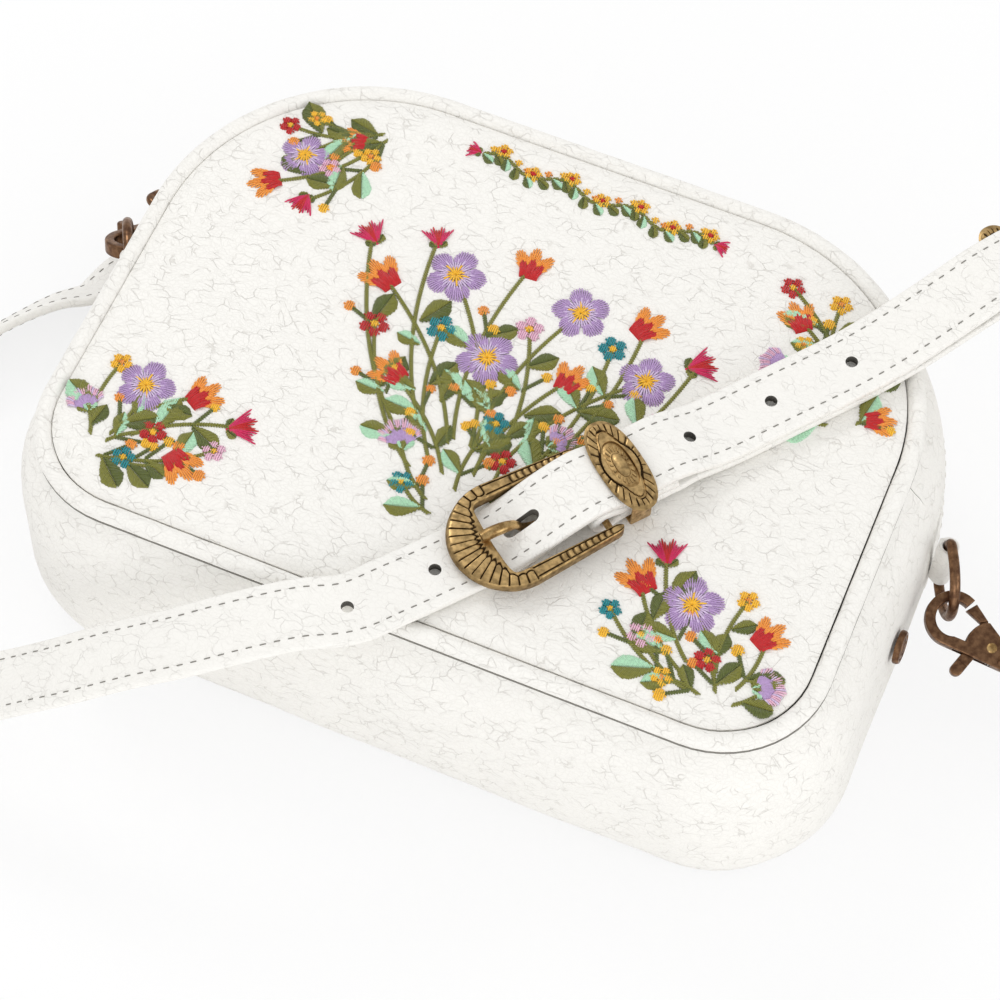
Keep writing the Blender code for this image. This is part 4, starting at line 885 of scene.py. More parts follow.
def gusset_offset(height):
    """How far the middle of the gusset's leather stands out of the front panel's outline."""
    share = min(max((height - GUSSET_LOW) / (GUSSET_HIGH - GUSSET_LOW), 0), 1)
    return PIPING_RADIUS + GAP + BACK_SPREAD * (1 - share) + BULGE * swell_share(share)


def side_reach(side, height):
    """How far a side's outer face stands from the bag's middle at a height."""
    return BODY_WIDTH / 2 + gusset_offset(height) + GUSSET_THICKNESS / 2 + side * lean(height)


def sway(point, size):
    """A slow rise and fall between -1 and 1 over the leather."""
    return noise.noise(point / size) * 1.6


def heights_between(low, high, count):
    return [low + (high - low) * step / count for step in range(count + 1)]


def band(name, path, low, high, inset, thickness, play=0, tucked=False):
    """A strip that follows the gusset between two heights, set in from its middle."""
    count = max(2, round((high - low) / GUSSET_ROW_STEP))
    levels = heights_between(low, high, count)
    if tucked:
        levels = [low + GUSSET_TUCK_HEIGHT * share for share in (0, 0.35, 0.7)] + levels[1:-1]
        levels += [high - GUSSET_TUCK_HEIGHT * share for share in (0.7, 0.35, 0)]
    rows = []
    for station in path:
        outer, inner = [], []
        for height in levels:
            share = (height - GUSSET_LOW) / (GUSSET_HIGH - GUSSET_LOW)
            middle = gusset_offset(height) - inset
            spot = on_body(station, middle, height)
            shift = play * sway(spot, GUSSET_SWAY_SIZE) * max(swell_share(share), 0)
            edge = min(height - low, high - height)
            seam = min(height - GUSSET_LOW + GAP, GUSSET_HIGH + GAP - height)
            middle -= GUSSET_TUCK * (1 - eased(seam / GUSSET_TUCK_HEIGHT)) if tucked else 0
            half = thickness / 2 * min(1, 0.45 + edge / thickness)
            outer.append(on_body(station, middle + half + shift, height))
            inner.append(on_body(station, middle - half + shift, height))
        rows.append(outer + list(reversed(inner)))
    return loft(name, rows, angle=50)


def front_height(x, y):
    """The front leather's height over the floor, away from its edge."""
    return BODY_DEPTH + PANEL_SWAY * sway(Vector((x, y, 0)), PANEL_SWAY_SIZE)


def panel(name, spread, top, bottom, face):
    """A padded panel: rings of points over one face, its edge drawn down into the seam."""
    rows = []
    path = whole_path()
    middle = Vector((0, -POCKET_DROP / 2))
    shares = [(share, False) for share in reversed(PANEL_SHARES[::4])] + [(1, False)]
    shares += [(share, True) for share in PANEL_SHARES]
    for share, facing in shares:
        near = max(0, 1 - (1 - share) * BODY_HEIGHT / 2 / PANEL_EDGE)
        row = []
        for point, out in path:
            spot = middle + (point + out * spread - middle) * share
            height = bottom
            if facing:
                swell = sway(Vector((spot.x, spot.y, 0)), PANEL_SWAY_SIZE) * min(1, (1 - share) * 12)
                height = top + face * (PANEL_SWAY * swell - PANEL_SETTLE * near ** 2)
            row.append(Vector((spot.x + lean(top), spot.y, height)))
        rows.append(row)
    return loft(name, rows)


def piping(name, spread, height):
    """Leather rolled over a cord: round, with slight pinches where it was sewn."""
    points = [on_body(station, spread, height) for station in whole_path()]
    swells = [1 + PIPING_PINCH * sway(spot, PIPING_PINCH_SIZE) for spot in points]
    return wire(name, points, PIPING_RADIUS + GAP / 2, closed=True, sides=18, swells=swells)


def strands(name, lines, radius, sides=6):
    """Many short threads as one mesh: each line is its points and the direction up from the leather."""
    points, faces = [], []
    for line, up in lines:
        heading = (line[-1] - line[0]).normalized()
        across = heading.cross(up).normalized()
        faces += tube(len(points), len(line), sides)
        for point in line:
            points += [point + across * math.cos(angle) * radius + up * math.sin(angle) * radius
                       for angle in around(sides)]
    mesh = skin(name, points, faces)
    mesh.shade_smooth()
    return mesh


def stitch_line(point, heading, up):
    """One stitch that dips into the leather at both ends."""
    half = sizes().stitch_length / 2
    rise = sizes().stitch_radius
    ends = [(-1, -1.6), (-0.72, 0.1), (0, 0.35), (0.72, 0.1), (1, -1.6)]
    return [point + heading * half * along + up * rise * lift for along, lift in ends], up


def stitches_along(track):
    """Stitches at an even pitch along (point, up) pairs."""
    lines = []
    travelled = 0.0
    due = sizes().stitch_pitch / 2
    for (start, up), (end, _) in zip(track, track[1:]):
        length = (end - start).length
        while length > 0 and due <= travelled + length:
            heading = (end - start) / length
            lines.append(stitch_line(start + heading * (due - travelled), heading, up))
            due += sizes().stitch_pitch
        travelled += length
    return lines


def gusset_track(path, height):
    """A line of stitches over the gusset's outer face at a height."""
    reach = gusset_offset(height) + GUSSET_THICKNESS / 2
    return [(on_body(station, reach, height), station[1].to_3d()) for station in path]


def make_panels():
    for word, spread, top, bottom, face in (
            ("front", 0, BODY_DEPTH, BODY_DEPTH - PANEL_THICKNESS, 1),
            ("back", BACK_SPREAD, 0, PANEL_THICKNESS, 0)):
        mesh = panel(word + "_panel_leather", spread, top, bottom, face)
        piece(mesh, "crackled_cowhide", "bag", "leather", word + "_panel")


def make_pipings():
    for word, spread, height in (
            ("front", PIPING_RADIUS + GAP, BODY_DEPTH - PIPING_RADIUS),
            ("back", BACK_SPREAD + PIPING_RADIUS + GAP, PIPING_RADIUS + GAP)):
        rolled = piping(word + "_piping_leather", spread, height)
        piece(rolled, "crackled_cowhide", "bag", "leather", word + "_piping")
    # A thin grey thread along the crease under the front piping is painted shade for the crease's shadow,
    # not a stitched thread.
    seam = [on_body(station, PIPING_RADIUS + GAP + SEAM_SHADE_OUT, BODY_DEPTH - PIPING_RADIUS - SEAM_SHADE_DROP)
            for station in whole_path()]
    sewn = wire("front_seam_painted_shade_thread", seam, SEAM_SHADE_RADIUS, closed=True, sides=8)
    piece(sewn, "waxed_sewing_thread_and_seam_shade", "bag", "leather")


def make_gussets():
    low, high = GUSSET_LOW - GAP, GUSSET_HIGH + GAP
    bottom = band("bottom_gusset_leather", bottom_path(), low, high, 0, GUSSET_THICKNESS, GUSSET_SWAY, True)
    piece(bottom, "crackled_cowhide", "bag", "leather", "bottom_gusset")
    upper, lower = ZIP_MIDDLE + ZIP_WINDOW / 2, ZIP_MIDDLE - ZIP_WINDOW / 2
    for word, start, end, level in (
            ("front", upper, high, upper + ZIP_STITCH_IN), ("back", low, lower, lower - ZIP_STITCH_IN)):
        strip = band("zip_gusset_%s_leather" % word, top_path(), start, end, 0, GUSSET_THICKNESS, 0, True)
        piece(strip, "crackled_cowhide", "bag", "leather", "zip_gusset_" + word)
        lines = stitches_along(gusset_track(top_path(), level))
        sewn = strands("zip_gusset_%s_stitches" % word, lines, sizes().stitch_radius)
        piece(sewn, "white_sewing_thread", "bag", "leather")


def tooth(station, side):
    """One metal tooth clamped on the tape's edge, its nose past the middle."""
    out = station[1]
    outward = out.to_3d()
    tangent = Vector((-out.y, out.x, 0))
    middle = on_body(station, gusset_offset(ZIP_MIDDLE) - TAPE_INSET, ZIP_MIDDLE)
    near = -TOOTH_REACH * 0.4 * side
    far = (TEETH_SPACING / 2 + TEETH_WIDTH) * side
    rows = []
    for along, half in (
            (near, 0.55), (near + TOOTH_REACH * side, 1), (far - TOOTH_NOSE * side, 1), (far, 0.7)):
        row = []
        for x, y in ((-1, -1), (1, -1), (1, 1), (-1, 1)):
            row.append(middle + Vector((0, 0, along)) + tangent * x * TOOTH_LENGTH / 2 * half
                       + outward * y * TEETH_DEPTH / 2 * half)
        rows.append(row)
    return rows


def teeth(name, side):
    """A row of teeth as one mesh, half a pitch apart from the other row."""
    path = spaced(top_corners(ZIP_END_ANGLE))
    points, faces = [], []
    travelled = 0.0
    due = TOOTH_PITCH / 4 * (2 + side)
    for before, after in zip(path, path[1:]):
        length = (after[0] - before[0]).length * (1 + gusset_offset(ZIP_MIDDLE) / TOP_RADIUS)
        while due <= travelled + length:
            share = (due - travelled) / length
            station = (before[0].lerp(after[0], share), before[1].lerp(after[1], share).normalized())
            rows = tooth(station, side)
            faces += tube(len(points), len(rows), 4)
            points += [point for row in rows for point in row]
            due += TOOTH_PITCH
        travelled += length
    mesh = skin(name, points, faces)
    smooth(mesh)
    return mesh


def make_zip():
    start = TEETH_SPACING / 2 + TEETH_WIDTH * 0.6
    for word, side in (("front", 1), ("back", -1)):
        near, far = ZIP_MIDDLE + start * side, ZIP_MIDDLE + (start + TAPE_WIDTH) * side
        low, high = min(near, far), max(near, far)
        tape = band("zip_tape_%s_weave" % word, top_path(), low, high, TAPE_INSET, TAPE_THICKNESS)
        piece(tape, "woven_zip_tape", "bag", "zip_tape", "zip_tape_" + word)
        row = teeth("zip_teeth_%s_row" % word, side)
        piece(row, "tumbled_antique_brass", "bag", "zip_metal", "zip_teeth_" + word)
    for node in ("zip_slider", "zip_pull", "zip_stop_closed", "zip_stop_open"):
        refinish(node, "tumbled_antique_brass")


def make_linings():
    front = BODY_DEPTH - PANEL_THICKNESS - GAP - LINING_THICKNESS / 2
    back = PANEL_THICKNESS + GAP + LINING_THICKNESS / 2
    half = LINING_THICKNESS / 2
    for name, spread, height in (("front", -GAP * 2, front), ("back", BACK_SPREAD - GAP * 2, back)):
        cloth = panel("lining_%s_cotton" % name, spread, height + half, height - half, 0)
        piece(cloth, "plain_woven_cotton_lining", "bag", "lining", "lining_" + name)
    low = back + half + GAP + PIPING_RADIUS
    high = front - half - GAP - PIPING_RADIUS
    start = SLIDER_WIDTH / 2 + SLIDER_PLAY * 2
    for name, path, bottom, top in (
            ("gusset", bottom_path(), low, high), ("zip_front", top_path(), ZIP_MIDDLE + start, high),
            ("zip_back", top_path(), low, ZIP_MIDDLE - start)):
        cloth = band("lining_%s_cotton" % name, path, bottom, top, LINING_INSET, LINING_THICKNESS)
        piece(cloth, "plain_woven_cotton_lining", "bag", "lining", "lining_" + name)
    height = back + LINING_THICKNESS + GAP
    rounded = POCKET_WIDTH / 22
    outline = []
    for turn, (x, y) in enumerate(((1, 1), (-1, 1), (-1, -1), (1, -1))):
        centre = (x * (POCKET_WIDTH / 2 - rounded), y * (POCKET_HEIGHT / 2 - rounded))
        outline += arc(centre, rounded, turn * math.pi / 2, (turn + 1) * math.pi / 2, 5)
    pocket = casting("slip_pocket_cotton", outline, LINING_THICKNESS, LINING_THICKNESS / 4)
    placed(pocket, Matrix.Translation((lean(height), -POCKET_DROP, height)))
    piece(pocket, "plain_woven_cotton_lining", "bag", "lining", "slip_pocket")


def ring_matrix(word):
    place, _ = joint(word + "_ring_swing")
    angle = RIGHT_RING_ANGLE if word == "right" else LEFT_RING_ANGLE
    reach = Vector((math.cos(angle), math.sin(angle), 0))
    return axes(place, reach, reach.cross(UP))


def make_rings():
    half = RING_INSIDE / 2 + RING_WIRE
    turn = RING_CORNER
    outline = arc((turn, turn - half), turn, math.pi * 1.5, math.pi, 6)
    outline += arc((turn, half - turn), turn, math.pi, math.pi / 2, 6)
    outline += arc((RING_REACH - half, 0), half, math.pi / 2, -math.pi / 2, 36)
    for word, side in (("right", 1), ("left", -1)):
        points = [ring_matrix(word) @ Vector((x, y, 0)) for x, y in outline]
        ring = wire(word + "_d_ring_wire", points, RING_WIRE * WIRE_FIT, closed=True, sides=20)
        piece(ring, "browned_brass", word + "_ring", "dark_brass", word + "_d_ring")
        inner = RING_WIRE + GAP
        outer = inner + TAB_LEATHER
        loop = arc((0, 0), outer, math.radians(-115), math.radians(115), 20)
        loop += [(-outer - GAP, TAB_ROOT / 2), (-outer - GAP, -TAB_ROOT / 2)]
        hole = arc((0, 0), inner, 0, math.pi * 2 * 23 / 24, 23)
        tab = casting(word + "_ring_tab_leather", loop, TAB_WIDTH, TAB_LEATHER * 0.35, [hole])
        place, _ = joint(word + "_ring_swing")
        placed(tab, axes(place, Vector((side, 0, 0)), UP))
        piece(tab, "crackled_cowhide", "bag", "leather", word + "_ring_tab")


def make_studs():
    top = GAP + STUD_HEIGHT
    radius = STUD_RADIUS
    profile = [(radius * 0.5, 0), (radius * 0.96, GAP), (radius, GAP * 2), (radius, top * 0.62),
               (radius * 0.93, top * 0.86), (radius * 0.82, top * 0.9), (radius * 0.76, top * 0.74),
               (radius * 0.68, top * 0.72), (radius * 0.62, top * 0.88), (radius * 0.5, top * 0.95),
               (radius * 0.42, top * 0.8), (radius * 0.34, top * 0.78), (radius * 0.28, top * 0.95),
               (radius * 0.12, top * 1.0), (radius * 0.01, top * 1.01)]
    for word, side in (("right", 1), ("left", -1)):
        height = BODY_DEPTH * STUD_SHARE
        low = side_reach(side, height - STUD_RADIUS)
        high = side_reach(side, height + STUD_RADIUS)
        place = Vector((side * side_reach(side, height), SEAM_Y - STUD_DROP, height))
        matrix = axes(place, Vector((side, 0, (low - high) / (STUD_RADIUS * 2))), UP)
        stud = placed(turned(word + "_stud_cap", profile, 40), matrix @ along_x())
        piece(stud, "browned_brass", "bag", "dark_brass", word + "_stud")
        refinish(word + "_stud_base", "browned_brass")


def clasp_matrix(word):
    """The middle of a hook's round, X toward the swivel and Z out of its flat face."""
    place, axis = joint(word + "_swivel")
    _, face = joint(word + "_gate_swing")
    return axes(place, axis, face)


def hook_outline():
    """The hook's round, from its mouth back to the tapered body that holds the gate."""
    outer = HOOK_INNER + HOOK_WIRE
    points = arc((0, 0), outer, HOOK_MOUTH_ANGLE, math.radians(288), 40)
    points += [(BODY_TAIL, -BODY_TAIL_HALF), (BODY_TAIL, BODY_TAIL_HALF)]
    points += [(BODY_SHOULDER, BODY_SHOULDER_HALF)]
    points += arc((PIVOT_PLACE, PIVOT_RISE), GATE_SWEEP - GAP, math.radians(140), math.radians(205), 12)
    points += arc((0, 0), HOOK_INNER, math.radians(310), HOOK_MOUTH_ANGLE, 36)
    return points


def block(name, size, place):
    bm = bmesh.new()
    bmesh.ops.create_cube(bm, size=1)
    bmesh.ops.scale(bm, vec=size, verts=bm.verts)
    bmesh.ops.translate(bm, vec=place, verts=bm.verts)
    mesh = bpy.data.meshes.new(name)
    bm.to_mesh(mesh)
    bm.free()
    return mesh


def hook_body(word, matrix):
    body = casting(word + "_hook_casting", hook_outline(), HOOK_THICKNESS)
    rim = BARREL_RADIUS
    barrel = turned("barrel", [
        (rim * 0.7, BARREL_START), (rim, BARREL_START + rim * 0.3), (rim, BARREL_END - rim * 0.8),
        (rim * 0.86, BARREL_END - rim * 0.7), (rim * 0.86, BARREL_END - rim * 0.45),
        (rim, BARREL_END - rim * 0.3), (rim, BARREL_END - rim * 0.1), (rim * 0.9, BARREL_END)])
    placed(barrel, along_x())
    slot = block("slot", (SLOT_END - SLOT_START, ARM_HIGH * 2.6, SLOT_WIDTH),
                 ((SLOT_START + SLOT_END) / 2, 0, 0))
    body = combined(combined(body, [barrel], "UNION"), [slot], "DIFFERENCE")
    placed(body, matrix)
    piece(body, "browned_brass", word + "_hook", "dark_brass", word + "_hook_body")


def pivot(matrix):
    return matrix @ Matrix.Translation((PIVOT_PLACE, PIVOT_RISE, 0))


def hook_gate(word, matrix):
    high, low = math.radians(135), math.radians(152)
    upper = (GATE_SWEEP * math.cos(high), GATE_SWEEP * math.sin(high))
    lower = (GATE_SWEEP * math.cos(low), GATE_SWEEP * math.sin(low))
    tip_high = (ARM_TIP_HIGH - PIVOT_PLACE, ARM_HIGH - PIVOT_RISE)
    tip_low = (ARM_TIP_LOW - PIVOT_PLACE, ARM_LOW - PIVOT_RISE)
    lever = LEVER_PLACE - PIVOT_PLACE
    half = LEVER_WIDTH / 2
    end = half - LEVER_TIP - PIVOT_RISE
    outline = [tip_low, lower, (lever - half, -PIVOT_RADIUS)]
    outline += arc((lever, end), half, math.pi, math.pi * 2, 14)
    outline += [(lever + half, -PIVOT_RADIUS * 1.3)]
    outline += arc((0, 0), PIVOT_RADIUS, -math.pi / 2, math.pi / 2, 12)
    outline += [upper, tip_high]
    gate = casting(word + "_gate_casting", outline, TONGUE_THICKNESS, CAST_EDGE / 2)
    arm = casting("arm", [tip_low, lower, upper, tip_high], GATE_THICKNESS * WIRE_FIT)
    start = -LEVER_PAD_START - PIVOT_RISE
    pad = [(lever - half, start)] + arc((lever, end), half, math.pi, math.pi * 2, 14)
    pad += [(lever + half, start)]
    thumb = casting("thumb", pad, GATE_THICKNESS)
    gate = combined(combined(gate, [arm], "UNION"), [thumb], "UNION")
    placed(gate, pivot(matrix))
    piece(gate, "browned_brass", word + "_gate", "dark_brass", word + "_hook_gate")


def gate_pin(word, matrix):
    """The riveted pin: a shank between two low domed heads."""
    reach = HOOK_THICKNESS / 2
    head = RIVET_RADIUS
    proud = reach + RIVET_PROUD
    profile = [(head * 0.05, -proud), (head * 0.7, -proud + GAP / 4), (head, -reach), (head, -reach + GAP),
               (PIN_RADIUS, -reach + GAP * 2), (PIN_RADIUS, reach - GAP * 2), (head, reach - GAP),
               (head, reach), (head * 0.7, proud - GAP / 4), (head * 0.05, proud)]
    pin = placed(turned(word + "_gate_rivet", profile, 24), pivot(matrix))
    piece(pin, "tumbled_antique_brass", word + "_hook", "dark_brass", word + "_gate_pin")
    refinish(word + "_gate_spring", "drawn_spring_steel")


def loop_point(shares):
    x, y, z = shares
    return Vector((x * BODY_WIDTH / 2, y * BODY_HEIGHT / 2, z * BODY_DEPTH))


def eye_bar(word):
    return clasp_matrix(word) @ Vector((EYE_BAR_PLACE, 0, 0))


def eye_direction(word):
    """The strap's width at its eye, square to the clasp's axis and to the strap's way out."""
    _, axis = joint(word + "_swivel")
    if word == "right":
        width = UP
        return (width - axis * width.dot(axis)).normalized()
    leaving = loop_point(LEFT_LOOP_SHARES[0][0]) - eye_bar(word)
    return leaving.cross(axis).normalized()


def swivel_eye(word):
    place, axis = joint(word + "_swivel")
    matrix = axes(place, axis, axis.cross(eye_direction(word)))
    half = EYE_INSIDE / 2 + EYE_WIRE
    near = BARREL_END + GAP * 2 + EYE_WIRE
    far = EYE_BAR_PLACE
    turn = EYE_CORNER
    outline = arc((near + turn, turn - half), turn, math.pi * 1.5, math.pi, 6)
    outline += arc((near + turn, half - turn), turn, math.pi, math.pi / 2, 6)
    outline += arc((far - turn, half - turn), turn, math.pi / 2, 0, 6)
    outline += arc((far - turn, turn - half), turn, 0, -math.pi / 2, 6)
    loop = wire(word + "_swivel_loop", [Vector((x, y, 0)) for x, y in outline], EYE_WIRE, closed=True)
    hub_end = BARREL_END + GAP + HUB_LENGTH
    post = turned("post", [
        (POST_RADIUS * 0.6, BARREL_END - POST_DEPTH), (POST_RADIUS, BARREL_END - POST_DEPTH * 0.9),
        (POST_RADIUS, BARREL_END + GAP * 0.8), (HUB_RADIUS * 0.9, BARREL_END + GAP),
        (HUB_RADIUS, BARREL_END + GAP * 2), (HUB_RADIUS, hub_end - GAP), (HUB_RADIUS * 0.7, hub_end)])
    placed(post, along_x())
    loop = placed(combined(loop, [post], "UNION"), matrix)
    piece(loop, "browned_brass", "bag", "dark_brass", word + "_swivel_eye")


def make_clasps():
    for word in ("right", "left"):
        matrix = clasp_matrix(word)
        hook_body(word, matrix)
        hook_gate(word, matrix)
        gate_pin(word, matrix)
        swivel_eye(word)


def crossing(along, side=0.0, height=0.0):
    """A point of the strap's run across the front."""
    forward = Vector((math.cos(CROSSING_HEADING), math.sin(CROSSING_HEADING), 0))
    left = Vector((-forward.y, forward.x, 0))
    return Vector((CROSSING_X, CROSSING_Y, height)) + forward * along + left * side


def smooth_route(knots):
    """Samples of a smooth curve through (point, tilt) knots, as (point, tilt) pairs."""
    samples = []
    padded = [knots[0]] + knots + [knots[-1]]
    for index in range(1, len(padded) - 2):
        (p0, _), (p1, t1), (p2, t2), (p3, _) = padded[index - 1:index + 3]
        length = (p2 - p1).length
        steps = max(1, round(length / ROUTE_STEP))
        before = max((p1 - p0).length, length / 2)
        after = max((p3 - p2).length, length / 2)
        leaving = (p2 - p0) * (length / (length + before))
        arriving = (p3 - p1) * (length / (length + after))
        for step in range(steps):
            u = step / steps
            samples.append((smooth_between(u, p1, leaving, p2, arriving), t1 + (t2 - t1) * u))
    samples.append(knots[-1])
    return samples


def with_frames(samples):
    """Adds to each sample its heading and the strap's width direction."""
    framed = []
    for index, (point, tilt) in enumerate(samples):
        before = samples[max(index - 1, 0)][0]
        after = samples[min(index + 1, len(samples) - 1)][0]
        heading = (after - before).normalized()
        side = UP.cross(heading).normalized()
        rise = heading.cross(side)
        angle = math.radians(tilt)
        framed.append((point, heading, side * math.cos(angle) + rise * math.sin(angle)))
    return framed


def eased(share):
    share = min(max(share, 0), 1)
    return share * share * (3 - 2 * share)


def folded(framed, length, radius, upper):
    """A strap that comes back round a bar at the route's start: the short ply, the turn, the long ply.

    upper is +1 where the long ply lies on the strap's outer face, -1 where it lies under it.
    """
    distances = [0.0]
    for (before, _, _), (after, _, _) in zip(framed, framed[1:]):
        distances.append(distances[-1] + (after - before).length)
    near = (STRAP_THICKNESS + GAP) / 2
    short, long = [], []
    for (point, heading, width), distance in zip(framed, distances):
        out = heading.cross(width) * upper
        offset = radius + (near - radius) * eased(distance / FOLD_TAPER)
        if distance <= length:
            short.append((point - out * offset, width))
        settled = 1 - eased((distance - length) / FOLD_TAPER)
        long.append((point + out * offset * settled, width))
    point, heading, width = framed[0]
    out = heading.cross(width) * upper
    turn = []
    for step in range(1, FOLD_STEPS):
        angle = math.pi * step / FOLD_STEPS
        turn.append((point - out * radius * math.cos(angle) - heading * radius * math.sin(angle), width))
    return list(reversed(short)) + turn + long


def strap_section(half):
    """A strap's cross-section as (across, up) pairs: rounded edges and a slight crown."""
    thick = STRAP_THICKNESS / 2
    edge = STRAP_EDGE
    points = []
    for side in (1, -1):
        low = -math.pi / 2 if side > 0 else math.pi / 2
        for start, up in ((low, side * (edge - thick)), (low + math.pi / 2, side * (thick - edge))):
            points += arc((side * (half - edge), up), edge, start, start + math.pi / 2, 4)
        for share in (0.55, 0.0, -0.55):
            points.append((side * half * share, side * thick * (1.04 - 0.04 * share * share)))
    return points


def strap_rows(centres, tip):
    """Rows of a strap's cross-section along (point, width direction) pairs, and its four stitch tracks."""
    rows = []
    tracks = {(side, face): [] for side in (1, -1) for face in (1, -1)}
    inset = STRAP_WIDTH / 2 - sizes().stitch_inset
    for index, (point, width) in enumerate(centres):
        before = centres[max(index - 1, 0)][0]
        after = centres[min(index + 1, len(centres) - 1)][0]
        heading = (after - before).normalized()
        width = (width - heading * width.dot(heading)).normalized()
        up = heading.cross(width)
        left = (centres[-1][0] - point).length
        half = STRAP_WIDTH / 2
        if tip and left < TIP_TAPER:
            half *= max(math.sqrt(max(1 - (1 - left / TIP_TAPER) ** 2, 0)), 0.25)
        rows.append([point + width * across + up * rise for across, rise in strap_section(half)])
        for (side, face), track in tracks.items():
            if not tip or left > TIP_TAPER:
                spot = point + width * side * inset + up * face * STRAP_THICKNESS / 2
                track.append((spot, up * face))
    return rows, tracks


def make_strap(name, centres, tip, cutters):
    rows, tracks = strap_rows(centres, tip)
    mesh = loft(name + "_leather", rows)
    mesh.materials.append(finish("crackled_strap_leather"))
    for cutter in cutters:
        cutter.materials.append(finish("raw_leather_edge"))
    mesh = combined(mesh, cutters, "DIFFERENCE")
    piece(mesh, None, "bag", "leather", name)
    lines = []
    for track in tracks.values():
        lines += stitches_along(track)
    sewn = strands(name + "_stitches", lines, sizes().stitch_radius)
    piece(sewn, "waxed_sewing_thread_and_seam_shade", "bag", "leather")


def run_knots(table):
    return [(crossing(along * TIP_REACH, drift * STRAP_WIDTH, REST_HEIGHT + rise * STRAP_THICKNESS), 0)
            for along, rise, drift in table]


def left_eye_tilt():
    """The long strap's tilt at its eye, where its width lies along the eye's bar."""
    heading = (loop_point(LEFT_LOOP_SHARES[0][0]) - eye_bar("left")).normalized()
    side = UP.cross(heading).normalized()
    bar = eye_direction("left")
    return math.degrees(math.atan2(bar.dot(heading.cross(side)), bar.dot(side)))


def make_long_strap():
    knots = [(eye_bar("left"), left_eye_tilt())]
    knots += [(loop_point(shares), tilt) for shares, tilt in LEFT_LOOP_SHARES]
    knots += run_knots(LONG_RISE_SHARES)
    centres = folded(with_frames(smooth_route(knots)), LONG_EYE_FOLD, EYE_FOLD_RADIUS, 1)
    reach = STRAP_THICKNESS * 6
    cutters = []
    for index in range(HOLE_COUNT):
        along = (index - HOLE_COUNT // 2 - 1) * HOLE_PITCH
        if abs(along - PRONG_HOLE_AT) > HOLE_PITCH / 2:
            hole = turned("hole_%d" % index, [(HOLE_RADIUS, -reach), (HOLE_RADIUS, reach)], 24)
            cutters.append(placed(hole, Matrix.Translation(crossing(along, 0, REST_HEIGHT))))
    span = PRONG_HOLE / 2 - HOLE_RADIUS
    oval = arc((span, 0), HOLE_RADIUS, -math.pi / 2, math.pi / 2, 12)
    oval += arc((-span, 0), HOLE_RADIUS, math.pi / 2, math.pi * 1.5, 12)
    slit = loft("prong_hole", [[Vector((x, y, z)) for x, y in oval] for z in (-reach, reach)])
    place = Matrix.Translation(crossing(PRONG_HOLE_AT + PRONG_HOLE_LEAD, 0, REST_HEIGHT)) @ STRAP_TURN
    cutters.append(placed(slit, place))
    make_strap("long_strap", centres, True, cutters)


def make_buckle_strap():
    lead = clasp_matrix("right") @ Vector((EYE_BAR_PLACE + EYE_LEAD, 0, 0))
    knots = [(crossing(BUCKLE_BAR_AT, 0, BAR_HEIGHT), 0)] + run_knots(SHORT_RISE_SHARES)
    knots += [(loop_point(shares), tilt) for shares, tilt in RIGHT_LOOP_SHARES]
    knots += [(lead, -90), (eye_bar("right"), -90)]
    samples = smooth_route(knots)
    start = folded(with_frames(samples), BUCKLE_FOLD, BUCKLE_FOLD_RADIUS, -1)
    mirrored = [(point, -tilt) for point, tilt in reversed(samples)]
    end = folded(with_frames(mirrored), SHORT_EYE_FOLD, EYE_FOLD_RADIUS, 1)
    half = len(samples) // 2
    turned_back = [(point, -width) for point, width in reversed(end)]
    centres = start[:-half] + turned_back[len(samples) - half:]
    place = Matrix.Translation(crossing(BUCKLE_BAR_AT, BUCKLE_SIDE, BAR_HEIGHT)) @ STRAP_TURN
    slot = block("prong_slot", (STRAP_THICKNESS * 4, PRONG_EYE_WIDTH * 1.45, STRAP_THICKNESS * 4), (0, 0, 0))
    make_strap("buckle_strap", centres, False, [placed(slot, place)])


def buckle_matrix():
    """On the buckle's bar, X along the strap's run and Z up."""
    place, _ = joint("buckle_lift")
    return Matrix.Translation(place) @ STRAP_TURN


def frame_stations():
    """Along the horseshoe from one arm's tip to the other: inner point, outer point, angle or distance."""
    tip = ARM_TIP_AT - BUCKLE_BAR_AT
    lip = FRAME_LIP_AT - BUCKLE_BAR_AT
    swell = FRAME_END_AT - BUCKLE_BAR_AT + FRAME_SWELL
    arm_steps, round_steps = 90, 300
    stations = []
    for step in range(arm_steps):
        share = step / arm_steps
        x = tip + (swell - tip) * share
        outer = FRAME_TIP_HALF + (FRAME_HALF_WIDTH - FRAME_TIP_HALF) * share
        middle = (outer + FRAME_INNER_HALF) / 2
        blunt = math.sqrt(max(1 - max(1 - (tip - x) / ARM_BLUNT, 0) ** 2, 0.02))
        stations.append((Vector((x, middle + (FRAME_INNER_HALF - middle) * blunt)),
                         Vector((x, middle + (outer - middle) * blunt)), "arm", tip - x))
    for step in range(round_steps + 1):
        angle = math.pi / 2 + math.pi * step / round_steps
        along, across = math.cos(angle), math.sin(angle)
        side = (abs(along) / (swell - lip)) ** 7 + (abs(across) / FRAME_INNER_HALF) ** 7
        reach = side ** (-1 / 7)
        stations.append((Vector((swell + reach * along, reach * across)),
                         Vector((swell + FRAME_SWELL * along, FRAME_HALF_WIDTH * across)), "round",
                         step / round_steps))
    mirrored = [(Vector((inner.x, -inner.y)), Vector((outer.x, -outer.y)), kind, along)
                for inner, outer, kind, along in reversed(stations[:arm_steps])]
    return stations + mirrored


